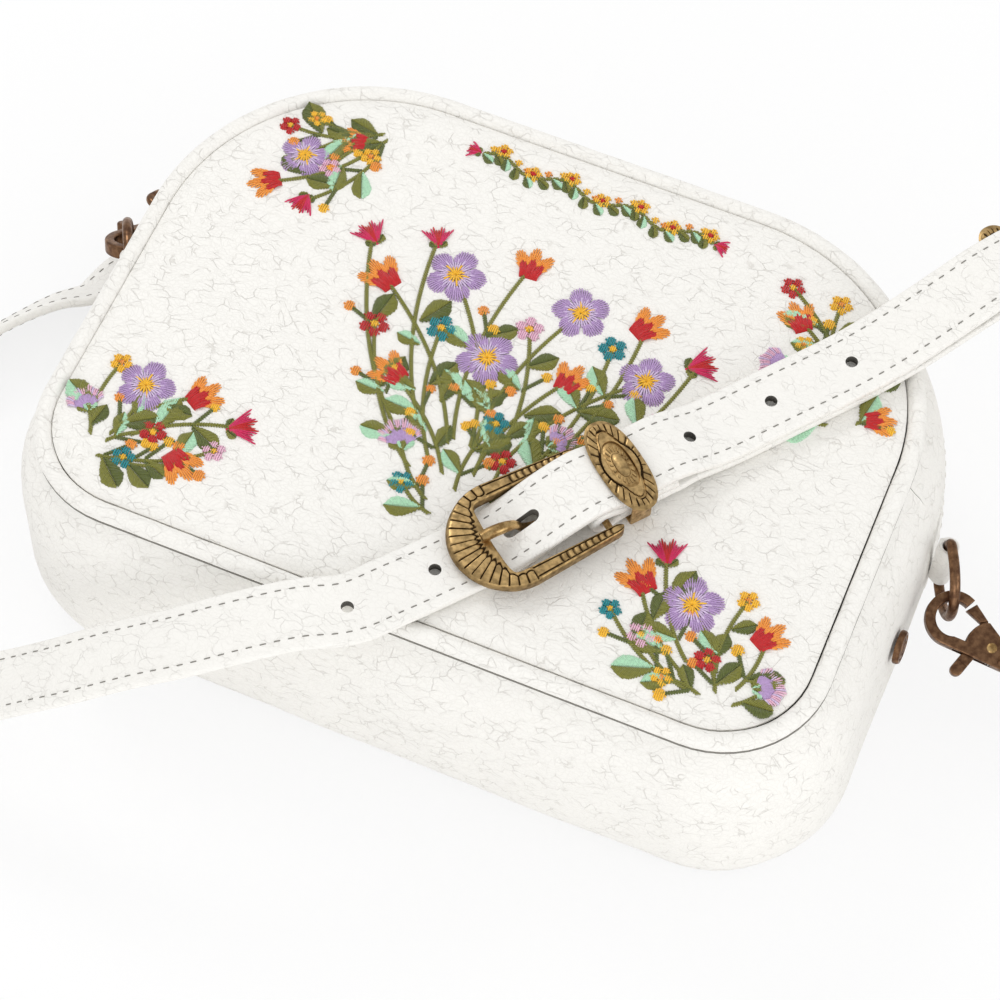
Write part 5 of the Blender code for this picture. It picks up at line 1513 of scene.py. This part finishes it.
def frame_relief(kind, along, across):
    """Height of the cast pattern: 0 in a groove, 1 on a high place, across from inner to outer edge."""
    if across < 0.03 or across > 0.97:
        return 0.55
    if kind == "arm":
        line = abs((along / ARM_LINE_PITCH + (across - 0.5) ** 2 * 1.6) % 1 - 0.5)
        if 0.24 < across < 0.74 and ARM_PATTERN_START < along < ARM_PATTERN_END:
            return min(1, max(0, (0.5 - line) * 5 - 0.15)) if line > 0.28 else 1
        if abs(across - 0.2) < 0.045 or abs(across - 0.79) < 0.045:
            return 0.1
        return 1
    lobe = abs(math.sin(math.pi * FRAME_GROOVES * along))
    border = 0.36 - 0.10 * lobe
    if across < border - 0.04:
        return 1
    if across < border + 0.045:
        return 0.05
    if across < 0.93:
        return min(1, (lobe - 0.14) / 0.16) if lobe > 0.14 else 0.0
    return 0.85


def make_frame():
    matrix = buckle_matrix() @ Matrix.Translation((0, 0, FRAME_RISE))
    top, bottom = FRAME_THICKNESS / 2, -FRAME_THICKNESS / 2
    steps = 34
    rows, relief = [], []
    for inner, outer, kind, along in frame_stations():
        row, worn = [], []
        for step in range(steps + 1):
            across = step / steps
            value = frame_relief(kind, along, across)
            crown = math.sqrt(max(1 - (across * 2 - 1) ** 10, 0))
            height = top - (1 - crown) * FRAME_THICKNESS * 0.42 - (1 - value) * GROOVE_DEPTH
            spot = inner.lerp(outer, across)
            row.append(matrix @ Vector((spot.x, spot.y, height)))
            worn.append(value)
        for across in (0.94, 0.5, 0.06):
            spot = inner.lerp(outer, across)
            row.append(matrix @ Vector((spot.x, spot.y, bottom)))
            worn.append(0.6)
        rows.append(row)
        relief.append(worn)
    mesh = loft("buckle_frame_casting", rows, relief=relief, angle=60)
    piece(mesh, "cast_antique_brass", "buckle", "buckle_brass", "buckle_frame")


def make_prong():
    matrix = buckle_matrix()
    across = Matrix.Rotation(-math.pi / 2, 4, "X")
    inner = BAR_RADIUS + GAP
    outer = inner + PRONG_EYE_WALL
    ring = arc((0, 0), outer, 0, math.pi * 2 * 31 / 32, 31)
    hole = arc((0, 0), inner, 0, math.pi * 2 * 31 / 32, 31)
    eye = placed(casting("prong_eye", ring, PRONG_EYE_WIDTH, GAP, [hole]), across)
    hole_at = PRONG_HOLE_AT - BUCKLE_BAR_AT
    lip = FRAME_LIP_AT - BUCKLE_BAR_AT
    top = FRAME_RISE + FRAME_THICKNESS / 2 + GAP + PRONG_TIP_RADIUS
    low = PRONG_RADIUS - (BAR_HEIGHT - BODY_DEPTH) + GAP * 3
    side = -BUCKLE_SIDE
    corners = [(-(inner + outer) / 2, 0, 0), (-outer - PRONG_RADIUS * 2, 0, low / 2), (hole_at / 2, 0, low),
               (hole_at * 0.80, side * 0.7, low * 0.9), (hole_at + PRONG_RADIUS, side, -PRONG_RADIUS * 0.4),
               (hole_at - PRONG_RADIUS, side, top * 0.62), (lip + PRONG_RADIUS, side, top),
               (lip - PRONG_RADIUS * 2.4, side, top * 0.96)]
    knots = [(Vector(corner_point), 0) for corner_point in corners]
    points = [point for point, _ in smooth_route(knots)]
    grown = PRONG_TIP_RADIUS / PRONG_RADIUS
    swells = []
    for index in range(len(points)):
        share = index / (len(points) - 1)
        swell = 1 + (grown - 1) * eased((share - 0.6) / 0.25)
        swells.append(swell * (0.8 if index == len(points) - 1 else 1))
    finger = wire("buckle_prong_casting", points, PRONG_RADIUS, swells=swells)
    mesh = placed(combined(finger, [eye], "UNION"), matrix)
    piece(mesh, "tumbled_antique_brass", "prong", "buckle_brass", "buckle_prong")


def make_buckle():
    make_frame()
    make_prong()
    refinish("buckle_bar", "tumbled_antique_brass")


def plate_relief(share, angle):
    """The keeper's pattern from its middle to its rim: boss, flutes, lobed band, rays and rim."""
    band_edge = 0.64 + 0.09 * math.cos(4 * angle)
    if share < 0.26:
        return 1, 0.9 * math.sqrt(1 - (share / 0.27) ** 2) + 0.2
    if share < 0.30:
        return 0.0, 0.0
    if share < 0.42:
        flute = abs(math.sin(9 * angle))
        return (0.9, 0.45) if flute > 0.74 else (0.0, 0.0)
    if share < 0.50:
        return 0.0, 0.0
    if share < band_edge:
        return 1, 0.75
    if share < band_edge + 0.07:
        return 0.0, 0.05
    if share < 0.93:
        ray = abs(math.sin(13 * angle))
        return (1, 0.6) if ray > 0.24 else (0.1, 0.15)
    return 0.9, 0.35


def plate_point(share, angle, level):
    """A point of the plate's full oval, a little squarer than an ellipse."""
    along, across = math.cos(angle), math.sin(angle)
    fuller = (abs(along) ** PLATE_FULLNESS + abs(across) ** PLATE_FULLNESS) ** (-1 / PLATE_FULLNESS)
    x, y = KEEPER_WIDTH / 2 * share * along * fuller, KEEPER_LENGTH / 2 * share * across * fuller
    return Vector((x, y, level))


def keeper_plate(name, matrix, stack):
    rings, steps = 56, 216
    rows, relief = [], []
    low = stack + GAP
    for share in (0.1, 0.5, 0.97):
        rows.append([matrix @ plate_point(share, angle, low) for angle in around(steps)])
        relief.append([0.5] * steps)
    for ring in range(rings + 1):
        share = 1 - ring / rings * 0.97
        row, worn = [], []
        for angle in around(steps):
            value, height = plate_relief(share, angle)
            level = low + KEEPER_PLATE * 0.55 + height * KEEPER_PLATE * 0.55
            level -= KEEPER_PLATE * 0.3 * max(0, share - 0.9) / 0.1
            row.append(matrix @ plate_point(share, angle, level))
            worn.append(value)
        rows.append(row)
        relief.append(worn)
    return loft(name + "_plate", rows, relief=relief, angle=60)


def keeper_loop(name, matrix, stack):
    """The band behind the plate: a rounded rectangle of flat strip."""
    half = KEEPER_INSIDE / 2 + KEEPER_WALL / 2
    high = stack + KEEPER_WALL
    turn = KEEPER_WALL
    path = []
    low = turn - KEEPER_WALL / 2
    side, top = half - turn, high - turn
    for quarter, centre in enumerate(((side, top), (-side, top), (-side, low), (side, low))):
        path += arc(centre, turn, quarter * math.pi / 2, (quarter + 1) * math.pi / 2, 5)
    rows = []
    wall = KEEPER_WALL / 2 * 0.94
    wide = KEEPER_BAND / 2
    middle = Vector((0, high / 2))
    for y, z in path:
        out = (Vector((y, z)) - middle)
        out = Vector((out.x / half, out.y / (high / 2)))
        out = Vector((round(out.x), round(out.y))).normalized() if out.length else Vector((1, 0))
        row = []
        for along, depth in ((-1, 0.6), (-0.9, 1), (0.9, 1), (1, 0.6), (1, -0.6), (0.9, -1), (-0.9, -1),
                             (-1, -0.6)):
            row.append(matrix @ Vector((wide * along, y + out.x * wall * depth, z + out.y * wall * depth)))
        rows.append(row)
    return loft(name + "_loop", rows, wrap=True, angle=50)


def make_keepers():
    inner_under = BODY_DEPTH + STRAP_REST + KEEPER_WALL
    rise = SHORT_RISE_SHARES[-1][1] * STRAP_THICKNESS
    outer_under = REST_HEIGHT + rise - OUTER_STACK / 2
    for name, body, along, side, under, stack in (
            ("keeper_inner", "inner_keeper", KEEPER_INNER_AT, KEEPER_INNER_SIDE, inner_under, INNER_STACK),
            ("keeper_outer", "outer_keeper", KEEPER_OUTER_AT, KEEPER_OUTER_SIDE, outer_under, OUTER_STACK)):
        matrix = Matrix.Translation(crossing(along, side, under)) @ STRAP_TURN
        plate = keeper_plate(name, matrix, stack)
        piece(plate, "cast_antique_brass", body, "buckle_brass", name)
        loop = keeper_loop(name, matrix, stack)
        piece(loop, "tumbled_antique_brass", body, "buckle_brass")


class Threads:
    """Embroidery threads gathered into one mesh, with a material for each colour."""

    def __init__(self, seed):
        self.points = []
        self.faces = []
        self.tones = []
        self.draw = random.Random(seed)

    def lay(self, start, end, tone, rise=THREAD_RISE):
        """One thread over the leather from start to end, both in metres on the front."""
        along = end - start
        if along.length < MM / 3:
            return
        across = Vector((-along.y, along.x)).normalized() * sizes().satin_radius
        up = sizes().satin_radius
        self.faces += tube(len(self.points), 5, 4)
        self.tones += [tone] * 18
        rise *= self.jitter(0.22)
        for share, lift in ((0, -0.3), (0.16, 0.62), (0.5, 1.0), (0.84, 0.62), (1, -0.3)):
            spot = start + along * share
            height = front_height(spot.x, spot.y) + lift * rise
            self.points.append((spot.x + across.x, spot.y + across.y, height))
            self.points.append((spot.x, spot.y, height + up))
            self.points.append((spot.x - across.x, spot.y - across.y, height))
            self.points.append((spot.x, spot.y, height - up))

    def jitter(self, amount):
        return 1 + self.draw.uniform(-amount, amount)

    def mesh(self, name):
        mesh = skin(name, self.points, self.faces)
        used = sorted(set(self.tones))
        for tone in used:
            mesh.materials.append(finish("rayon_thread_" + tone))
        mesh.polygons.foreach_set("material_index", [used.index(tone) for tone in self.tones])
        mesh.shade_smooth()
        return mesh


def ray(angle, length):
    return Vector((math.cos(angle), math.sin(angle))) * length


def blossom(threads, middle, size, turn):
    """An open flower: two rings of satin stitch with notched petals round a yellow eye."""
    for angle in around(round(math.pi * 2 * size * 0.72 / sizes().satin_spacing)):
        lobe = abs(math.cos(PETALS * (angle - turn) / 2))
        edge = size * (0.56 + 0.44 * lobe ** 0.55)
        if lobe < 0.13:
            continue
        near, far = middle + ray(angle, size * 0.40), middle + ray(angle, edge * threads.jitter(0.03))
        threads.lay(near, far, "violet", THREAD_RISE * 1.25)
    for step, angle in enumerate(around(round(math.pi * 2 * size * 0.36 / sizes().satin_spacing))):
        reach = size * (0.54 if step % 2 else 0.68)
        threads.lay(middle + ray(angle, size * 0.18), middle + ray(angle, reach), "lilac", THREAD_RISE * 1.6)
    for step, angle in enumerate(around(PETALS * 3)):
        reach = size * (0.34 if step % 3 else 0.52)
        threads.lay(middle, middle + ray(angle + turn, reach), "gold", THREAD_RISE * 2.2)


def tulip(threads, middle, size, turn):
    """A cup of satin stitch with three points, red in the heart and orange at the rim."""
    base = middle - ray(turn, size * 0.55)
    spread = math.radians(46)
    steps = round(size * 1.7 / sizes().satin_spacing)
    for step in range(steps + 1):
        share = step / steps * 2 - 1
        angle = turn + spread * share
        point_share = abs(math.cos(share * math.pi * 1.5))
        reach = size * (0.96 + 0.44 * point_share - 0.16 * abs(share))
        split = reach * (0.62 + 0.05 * (step % 2))
        start = base + ray(turn + math.pi / 2, size * 0.30 * share)
        threads.lay(start, base + ray(angle, split), "scarlet", THREAD_RISE * 1.5)
        rim = base + ray(angle, reach * threads.jitter(0.02))
        threads.lay(base + ray(angle, split * 0.86), rim, "orange")


def bud(threads, middle, size, turn):
    """A half-open bud: jagged rays from one point, over two small sepals."""
    base = middle - ray(turn, size * 0.5)
    steps = round(size * 1.15 / sizes().satin_spacing)
    for step in range(steps + 1):
        share = step / steps * 2 - 1
        jag = 1 - abs((share * 1.5) % 1 - 0.5) * 0.5
        angle = turn + math.radians(36) * share
        tone = "magenta" if abs(share) > 0.3 else "scarlet"
        threads.lay(base, base + ray(angle, size * 1.35 * jag), tone, THREAD_RISE * 1.3)
    for side in (1, -1):
        leaf(threads, base, base + ray(turn + side * 0.9, size * 0.62), "moss", "olive", 0.30)


def pansy(threads, middle, size, turn):
    """A side view of a bell: a fan of lilac with a rose lip, held in a green cup."""
    base = middle - ray(turn, size * 0.5)
    steps = round(size * 1.9 / sizes().satin_spacing)
    for step in range(steps + 1):
        share = step / steps * 2 - 1
        angle = turn + math.radians(62) * share
        wave = 1 - 0.10 * abs(math.cos(share * math.pi * 2))
        reach = size * 1.25 * wave * (1 - 0.20 * share * share)
        near, far = base + ray(angle, size * 0.16), base + ray(angle, reach * 0.66)
        threads.lay(near, far, "violet", THREAD_RISE * 1.5)
        tone = "rose" if step % 3 else "lilac"
        threads.lay(base + ray(angle, reach * 0.60), base + ray(angle, reach), tone)
    for side in (1, -1):
        leaf(threads, base - ray(turn, size * 0.18), base + ray(turn + side * 0.8, size * 0.55), "olive",
             "mint", 0.34)


def berry(threads, middle, radius, tone):
    """A small round filled with satin stitch."""
    steps = max(3, round(radius * 2 / sizes().satin_spacing))
    for step in range(steps + 1):
        offset = radius * (step / steps * 2 - 1)
        half = math.sqrt(max(radius ** 2 - offset ** 2, 0)) + MM / 5
        threads.lay(middle + Vector((offset, -half)), middle + Vector((offset, half)), tone,
                    THREAD_RISE * 1.4)


def floret(threads, middle, size, turn, tone, eye):
    """Five round petals about an eye."""
    for angle in around(PETALS):
        berry(threads, middle + ray(turn + angle, size * 0.62), size * 0.36, tone)
    berry(threads, middle, size * 0.26, eye)


def leaf(threads, root, tip, tone, other, width=0.36):
    """Two halves of slanting stitches that meet at a midrib, each in its own green."""
    along = tip - root
    length = along.length
    if length < MM:
        return
    heading = along / length
    side = Vector((-heading.y, heading.x))
    steps = max(4, round(length / sizes().satin_spacing))
    for step in range(1, steps):
        share = step / steps
        wide = length * width * math.sin(math.pi * share ** 0.8) ** 1.15 * threads.jitter(0.04)
        rib = root + along * share * 0.92
        for sign, colour in ((1, tone), (-1, other)):
            edge = rib + side * sign * wide + heading * wide * 0.75
            threads.lay(rib, edge, colour)


def bend(start, control, end, share):
    first = start.lerp(control, share)
    return first.lerp(control.lerp(end, share), share)


def stem(threads, start, control, end, tone="olive"):
    """A rope of short slanting stitches along a bent line."""
    length = (control - start).length + (end - control).length
    steps = max(3, round(length / (sizes().satin_spacing * 1.25)))
    for step in range(steps):
        here = bend(start, control, end, step / steps)
        ahead = bend(start, control, end, min(1, (step + 1.7) / steps))
        heading = (ahead - here).normalized()
        side = Vector((-heading.y, heading.x)) * STEM_WIDTH / 2
        threads.lay(here - side, ahead + side, tone, THREAD_RISE * 0.9)


def motif(threads, kind, middle, size, turn):
    if kind == "floret":
        floret(threads, middle, size, turn, "scarlet" if threads.draw.random() < 0.55 else "rose", "gold")
    elif kind in ("teal", "gold"):
        floret(threads, middle, size, turn, kind, "gold" if kind == "teal" else "orange")
    else:
        flowers = {"blossom": blossom, "tulip": tulip, "pansy": pansy, "bud": bud}
        flowers[kind](threads, middle, size, turn)


def spray(name, base, motifs, seed):
    """Flowers on stems that run together at a foot, with leaves and berries along the stems."""
    threads = Threads(seed)
    foot = Vector(base) * MM
    greens = [("olive", "moss"), ("olive", "mint"), ("moss", "olive"), ("mint", "olive")]
    for index, (kind, x, y, size, turn) in enumerate(motifs):
        head = Vector((x, y)) * MM
        run = head - foot
        side = Vector((-run.y, run.x)) * (0.16 if index % 2 else -0.16)
        control = foot + run * 0.5 + side
        stem(threads, bend(foot, control, head, 0.3), foot + run * 0.62 + side * 0.9, head)
        leaves = 1 + (run.length > 0.030)
        for place in range(leaves):
            share = 0.46 + 0.48 * place / leaves
            root = bend(foot, control, head, share)
            ahead = bend(foot, control, head, share + 0.05) - root
            hand = 1 if (place + index) % 2 else -1
            angle = math.atan2(ahead.y, ahead.x) + hand * threads.draw.uniform(0.6, 1.0)
            length = LEAF_LENGTH * threads.draw.uniform(0.7, 1.15)
            tone, other = greens[(index + place) % len(greens)]
            leaf(threads, root, root + ray(angle, length), tone, other, 0.26)
            if index % 3 == 1:
                continue
            stalk = math.atan2(ahead.y, ahead.x) - hand * threads.draw.uniform(0.5, 0.9)
            end = root + ray(stalk, LEAF_LENGTH * 0.72)
            stem(threads, root, root.lerp(end, 0.5), end, "moss")
            tone = "gold" if (index + place) % 3 else "orange"
            berry(threads, end, BERRY_RADIUS * threads.jitter(0.15), tone)
    for kind, x, y, size, turn in motifs:
        motif(threads, kind, Vector((x, y)) * MM, size * MM, math.radians(turn))
    piece(threads.mesh(name), None, "bag", "leather")


def garland(name, seed):
    """A waving stem along the top with small leaves, golden florets and berries, a bud at each end."""
    threads = Threads(seed)
    start, end = Vector(GARLAND_START) * MM, Vector(GARLAND_END) * MM
    run = end - start
    side = Vector((-run.y, run.x)).normalized()

    def spot(share):
        sway_side = math.sin(share * math.pi * 2 * GARLAND_WAVES) * GARLAND_SWAY * MM
        return start + run * share + side * sway_side

    parts = 40
    for index in range(parts):
        here, there = spot(index / parts), spot((index + 1) / parts)
        stem(threads, here, here.lerp(there, 0.5), there)
        heading = (there - here).normalized()
        hand = 1 if index % 2 else -1
        angle = math.atan2(heading.y, heading.x) + hand * 0.9
        if index % 2 == 0:
            tone = "olive" if index % 4 else "mint"
            leaf(threads, here, here + ray(angle, LEAF_LENGTH * 0.42), tone, "moss", 0.3)
        elif index % 6 == 3:
            floret(threads, here + side * hand * 1.4 * MM, 2.5 * MM, index, "gold", "scarlet")
        else:
            tone = "gold" if index % 4 == 1 else "orange"
            berry(threads, here + ray(angle, 2.0 * MM), BERRY_RADIUS * 0.62, tone)
    bud(threads, start - run.normalized() * 2 * MM, 3.4 * MM, math.atan2(-run.y, -run.x))
    bud(threads, end + run.normalized() * 2 * MM, 3.4 * MM, math.atan2(run.y, run.x))
    piece(threads.mesh(name), None, "bag", "leather")


def make_embroidery():
    for name, (foot, seed, motifs) in SPRAYS.items():
        spray("embroidery_" + name, foot, motifs, seed)
    garland("embroidery_garland", 13)


def make_camera():
    data = bpy.data.cameras.new("camera")
    data.lens = CAMERA_LENS
    data.sensor_width = 36
    data.clip_start = 0.01
    camera = put("camera", data)
    right, up = Vector(CAMERA_RIGHT), Vector(CAMERA_UP)
    turn = Matrix((right, up, right.cross(up))).transposed().to_4x4()
    camera.matrix_world = Matrix.Translation(CAMERA_PLACE) @ turn
    bpy.context.scene.camera = camera


def make_lamp(name, place, size, power):
    data = bpy.data.lights.new(name, "AREA")
    data.shape = "DISK"
    data.size = size
    data.energy = power
    lamp = put(name, data)
    lamp.matrix_world = axes(Vector(place), Vector((place[1], -place[0], 0)), Vector(place))


def make_world():
    world = bpy.data.worlds.new("studio")
    bpy.context.scene.world = world
    world.use_nodes = True
    tree = world.node_tree
    room = tree.nodes["Background"]
    room.inputs["Color"].default_value = (1, 1, 1, 1)
    path = add(tree, "ShaderNodeLightPath")
    dimmed = add(tree, "ShaderNodeMapRange", {1: 0.0, 2: 1.0, 3: ROOM_LIGHT, 4: ROOM_GLOSS},
                 {0: path.outputs["Is Glossy Ray"]})
    tree.links.new(dimmed.outputs[0], room.inputs["Strength"])
    white = add(tree, "ShaderNodeBackground", {"Color": (1, 1, 1, 1), "Strength": 1.0})
    mix = add(tree, "ShaderNodeMixShader", None,
              {0: path.outputs["Is Camera Ray"], 1: room.outputs[0], 2: white.outputs[0]})
    tree.links.new(mix.outputs[0], tree.nodes["World Output"].inputs["Surface"])


def make_stage():
    bm = bmesh.new()
    bmesh.ops.create_grid(bm, x_segments=1, y_segments=1, size=FLOOR_SIZE / 2)
    mesh = bpy.data.meshes.new("paper_floor")
    bm.to_mesh(mesh)
    bm.free()
    mesh.transform(Matrix.Translation((0, 0, -GAP)))
    floor = put("paper_floor", mesh)
    mesh.materials.append(finish("white_paper_floor"))
    make_world()
    make_lamp("key_softbox", (-0.75, 0.55, 1.15), 0.5, 3.5)
    make_lamp("front_softbox", (0.25, -1.35, 0.45), 0.9, 3.2)
    make_lamp("side_softbox", (1.35, -0.25, 0.55), 0.9, 2.8)
    make_camera()
    bpy.context.scene.view_settings.view_transform = "Standard"


class MINIBAG_OT_stage(bpy.types.Operator):
    """Sets the white paper floor, the soft lamps and the camera."""

    bl_idname = "mini_bag.stage"
    bl_label = "Stage"

    def execute(self, context):
        make_stage()
        return {"FINISHED"}


class MINIBAG_OT_panels(bpy.types.Operator):
    """Makes the front and the back of padded crackled leather."""

    bl_idname = "mini_bag.panels"
    bl_label = "Panels"

    def execute(self, context):
        make_panels()
        return {"FINISHED"}


class MINIBAG_OT_pipings(bpy.types.Operator):
    """Makes the two corded edges."""

    bl_idname = "mini_bag.pipings"
    bl_label = "Pipings"

    def execute(self, context):
        make_pipings()
        return {"FINISHED"}


class MINIBAG_OT_gussets(bpy.types.Operator):
    """Makes the leather round the bottom and beside the zip."""

    bl_idname = "mini_bag.gussets"
    bl_label = "Gussets"

    def execute(self, context):
        make_gussets()
        return {"FINISHED"}


class MINIBAG_OT_zip(bpy.types.Operator):
    """Makes the zip's tapes and teeth, and finishes its slider, pull and stops."""

    bl_idname = "mini_bag.zip"
    bl_label = "Zip"

    def execute(self, context):
        make_zip()
        return {"FINISHED"}


class MINIBAG_OT_linings(bpy.types.Operator):
    """Makes the cotton lining and its pocket."""

    bl_idname = "mini_bag.linings"
    bl_label = "Linings"

    def execute(self, context):
        make_linings()
        return {"FINISHED"}


class MINIBAG_OT_rings(bpy.types.Operator):
    """Makes the side rings and the leather tabs that hold them."""

    bl_idname = "mini_bag.rings"
    bl_label = "Rings and tabs"

    def execute(self, context):
        make_rings()
        return {"FINISHED"}


class MINIBAG_OT_studs(bpy.types.Operator):
    """Makes the studs on both sides."""

    bl_idname = "mini_bag.studs"
    bl_label = "Studs"

    def execute(self, context):
        make_studs()
        return {"FINISHED"}


class MINIBAG_OT_clasps(bpy.types.Operator):
    """Makes the two swivel clasps: hook, gate, rivet and eye."""

    bl_idname = "mini_bag.clasps"
    bl_label = "Clasps"

    def execute(self, context):
        make_clasps()
        return {"FINISHED"}


class MINIBAG_OT_long_strap(bpy.types.Operator):
    """Makes the long strap with its holes and stitches."""

    bl_idname = "mini_bag.long_strap"
    bl_label = "Long strap"

    def execute(self, context):
        make_long_strap()
        return {"FINISHED"}


class MINIBAG_OT_buckle_strap(bpy.types.Operator):
    """Makes the short strap that carries the buckle."""

    bl_idname = "mini_bag.buckle_strap"
    bl_label = "Buckle strap"

    def execute(self, context):
        make_buckle_strap()
        return {"FINISHED"}


class MINIBAG_OT_buckle(bpy.types.Operator):
    """Makes the engraved buckle, its prong and its bar."""

    bl_idname = "mini_bag.buckle"
    bl_label = "Buckle"

    def execute(self, context):
        make_buckle()
        return {"FINISHED"}


class MINIBAG_OT_keepers(bpy.types.Operator):
    """Makes the two metal keepers with their oval plates."""

    bl_idname = "mini_bag.keepers"
    bl_label = "Keepers"

    def execute(self, context):
        make_keepers()
        return {"FINISHED"}


class MINIBAG_OT_embroidery(bpy.types.Operator):
    """Stitches the flowers on the front."""

    bl_idname = "mini_bag.embroidery"
    bl_label = "Embroidery"

    def execute(self, context):
        make_embroidery()
        return {"FINISHED"}


OPERATORS = [
    MINIBAG_OT_stage, MINIBAG_OT_panels, MINIBAG_OT_pipings, MINIBAG_OT_gussets, MINIBAG_OT_zip,
    MINIBAG_OT_linings, MINIBAG_OT_rings, MINIBAG_OT_studs, MINIBAG_OT_clasps, MINIBAG_OT_long_strap,
    MINIBAG_OT_buckle_strap, MINIBAG_OT_buckle, MINIBAG_OT_keepers, MINIBAG_OT_embroidery,
]


class MINIBAG_PT_panel(bpy.types.Panel):
    """Lists the bag's pieces, sizes and colours."""

    bl_idname = "MINIBAG_PT_panel"
    bl_label = "Mini Bag"
    bl_space_type = "VIEW_3D"
    bl_region_type = "UI"
    bl_category = "Mini Bag"

    def draw(self, context):
        for operator in OPERATORS:
            self.layout.operator(operator.bl_idname)
        for group in (context.scene.mini_bag_sizes, context.scene.mini_bag_colours):
            box = self.layout.box()
            for name in group.__annotations__:
                box.prop(group, name)


CLASSES = [MiniBagSizes, MiniBagColours, *OPERATORS, MINIBAG_PT_panel]


def register():
    for cls in CLASSES:
        bpy.utils.register_class(cls)
    bpy.types.Scene.mini_bag_sizes = PointerProperty(type=MiniBagSizes)
    bpy.types.Scene.mini_bag_colours = PointerProperty(type=MiniBagColours)


def unregister():
    del bpy.types.Scene.mini_bag_colours
    del bpy.types.Scene.mini_bag_sizes
    for cls in reversed(CLASSES):
        bpy.utils.unregister_class(cls)


def main():
    register()
    bpy.ops.mini_bag.stage()
    bpy.ops.mini_bag.panels()
    bpy.ops.mini_bag.pipings()
    bpy.ops.mini_bag.gussets()
    bpy.ops.mini_bag.zip()
    bpy.ops.mini_bag.linings()
    bpy.ops.mini_bag.rings()
    bpy.ops.mini_bag.studs()
    bpy.ops.mini_bag.clasps()
    bpy.ops.mini_bag.long_strap()
    bpy.ops.mini_bag.buckle_strap()
    bpy.ops.mini_bag.buckle()
    bpy.ops.mini_bag.keepers()
    bpy.ops.mini_bag.embroidery()


if __name__ == "__main__":
    main()
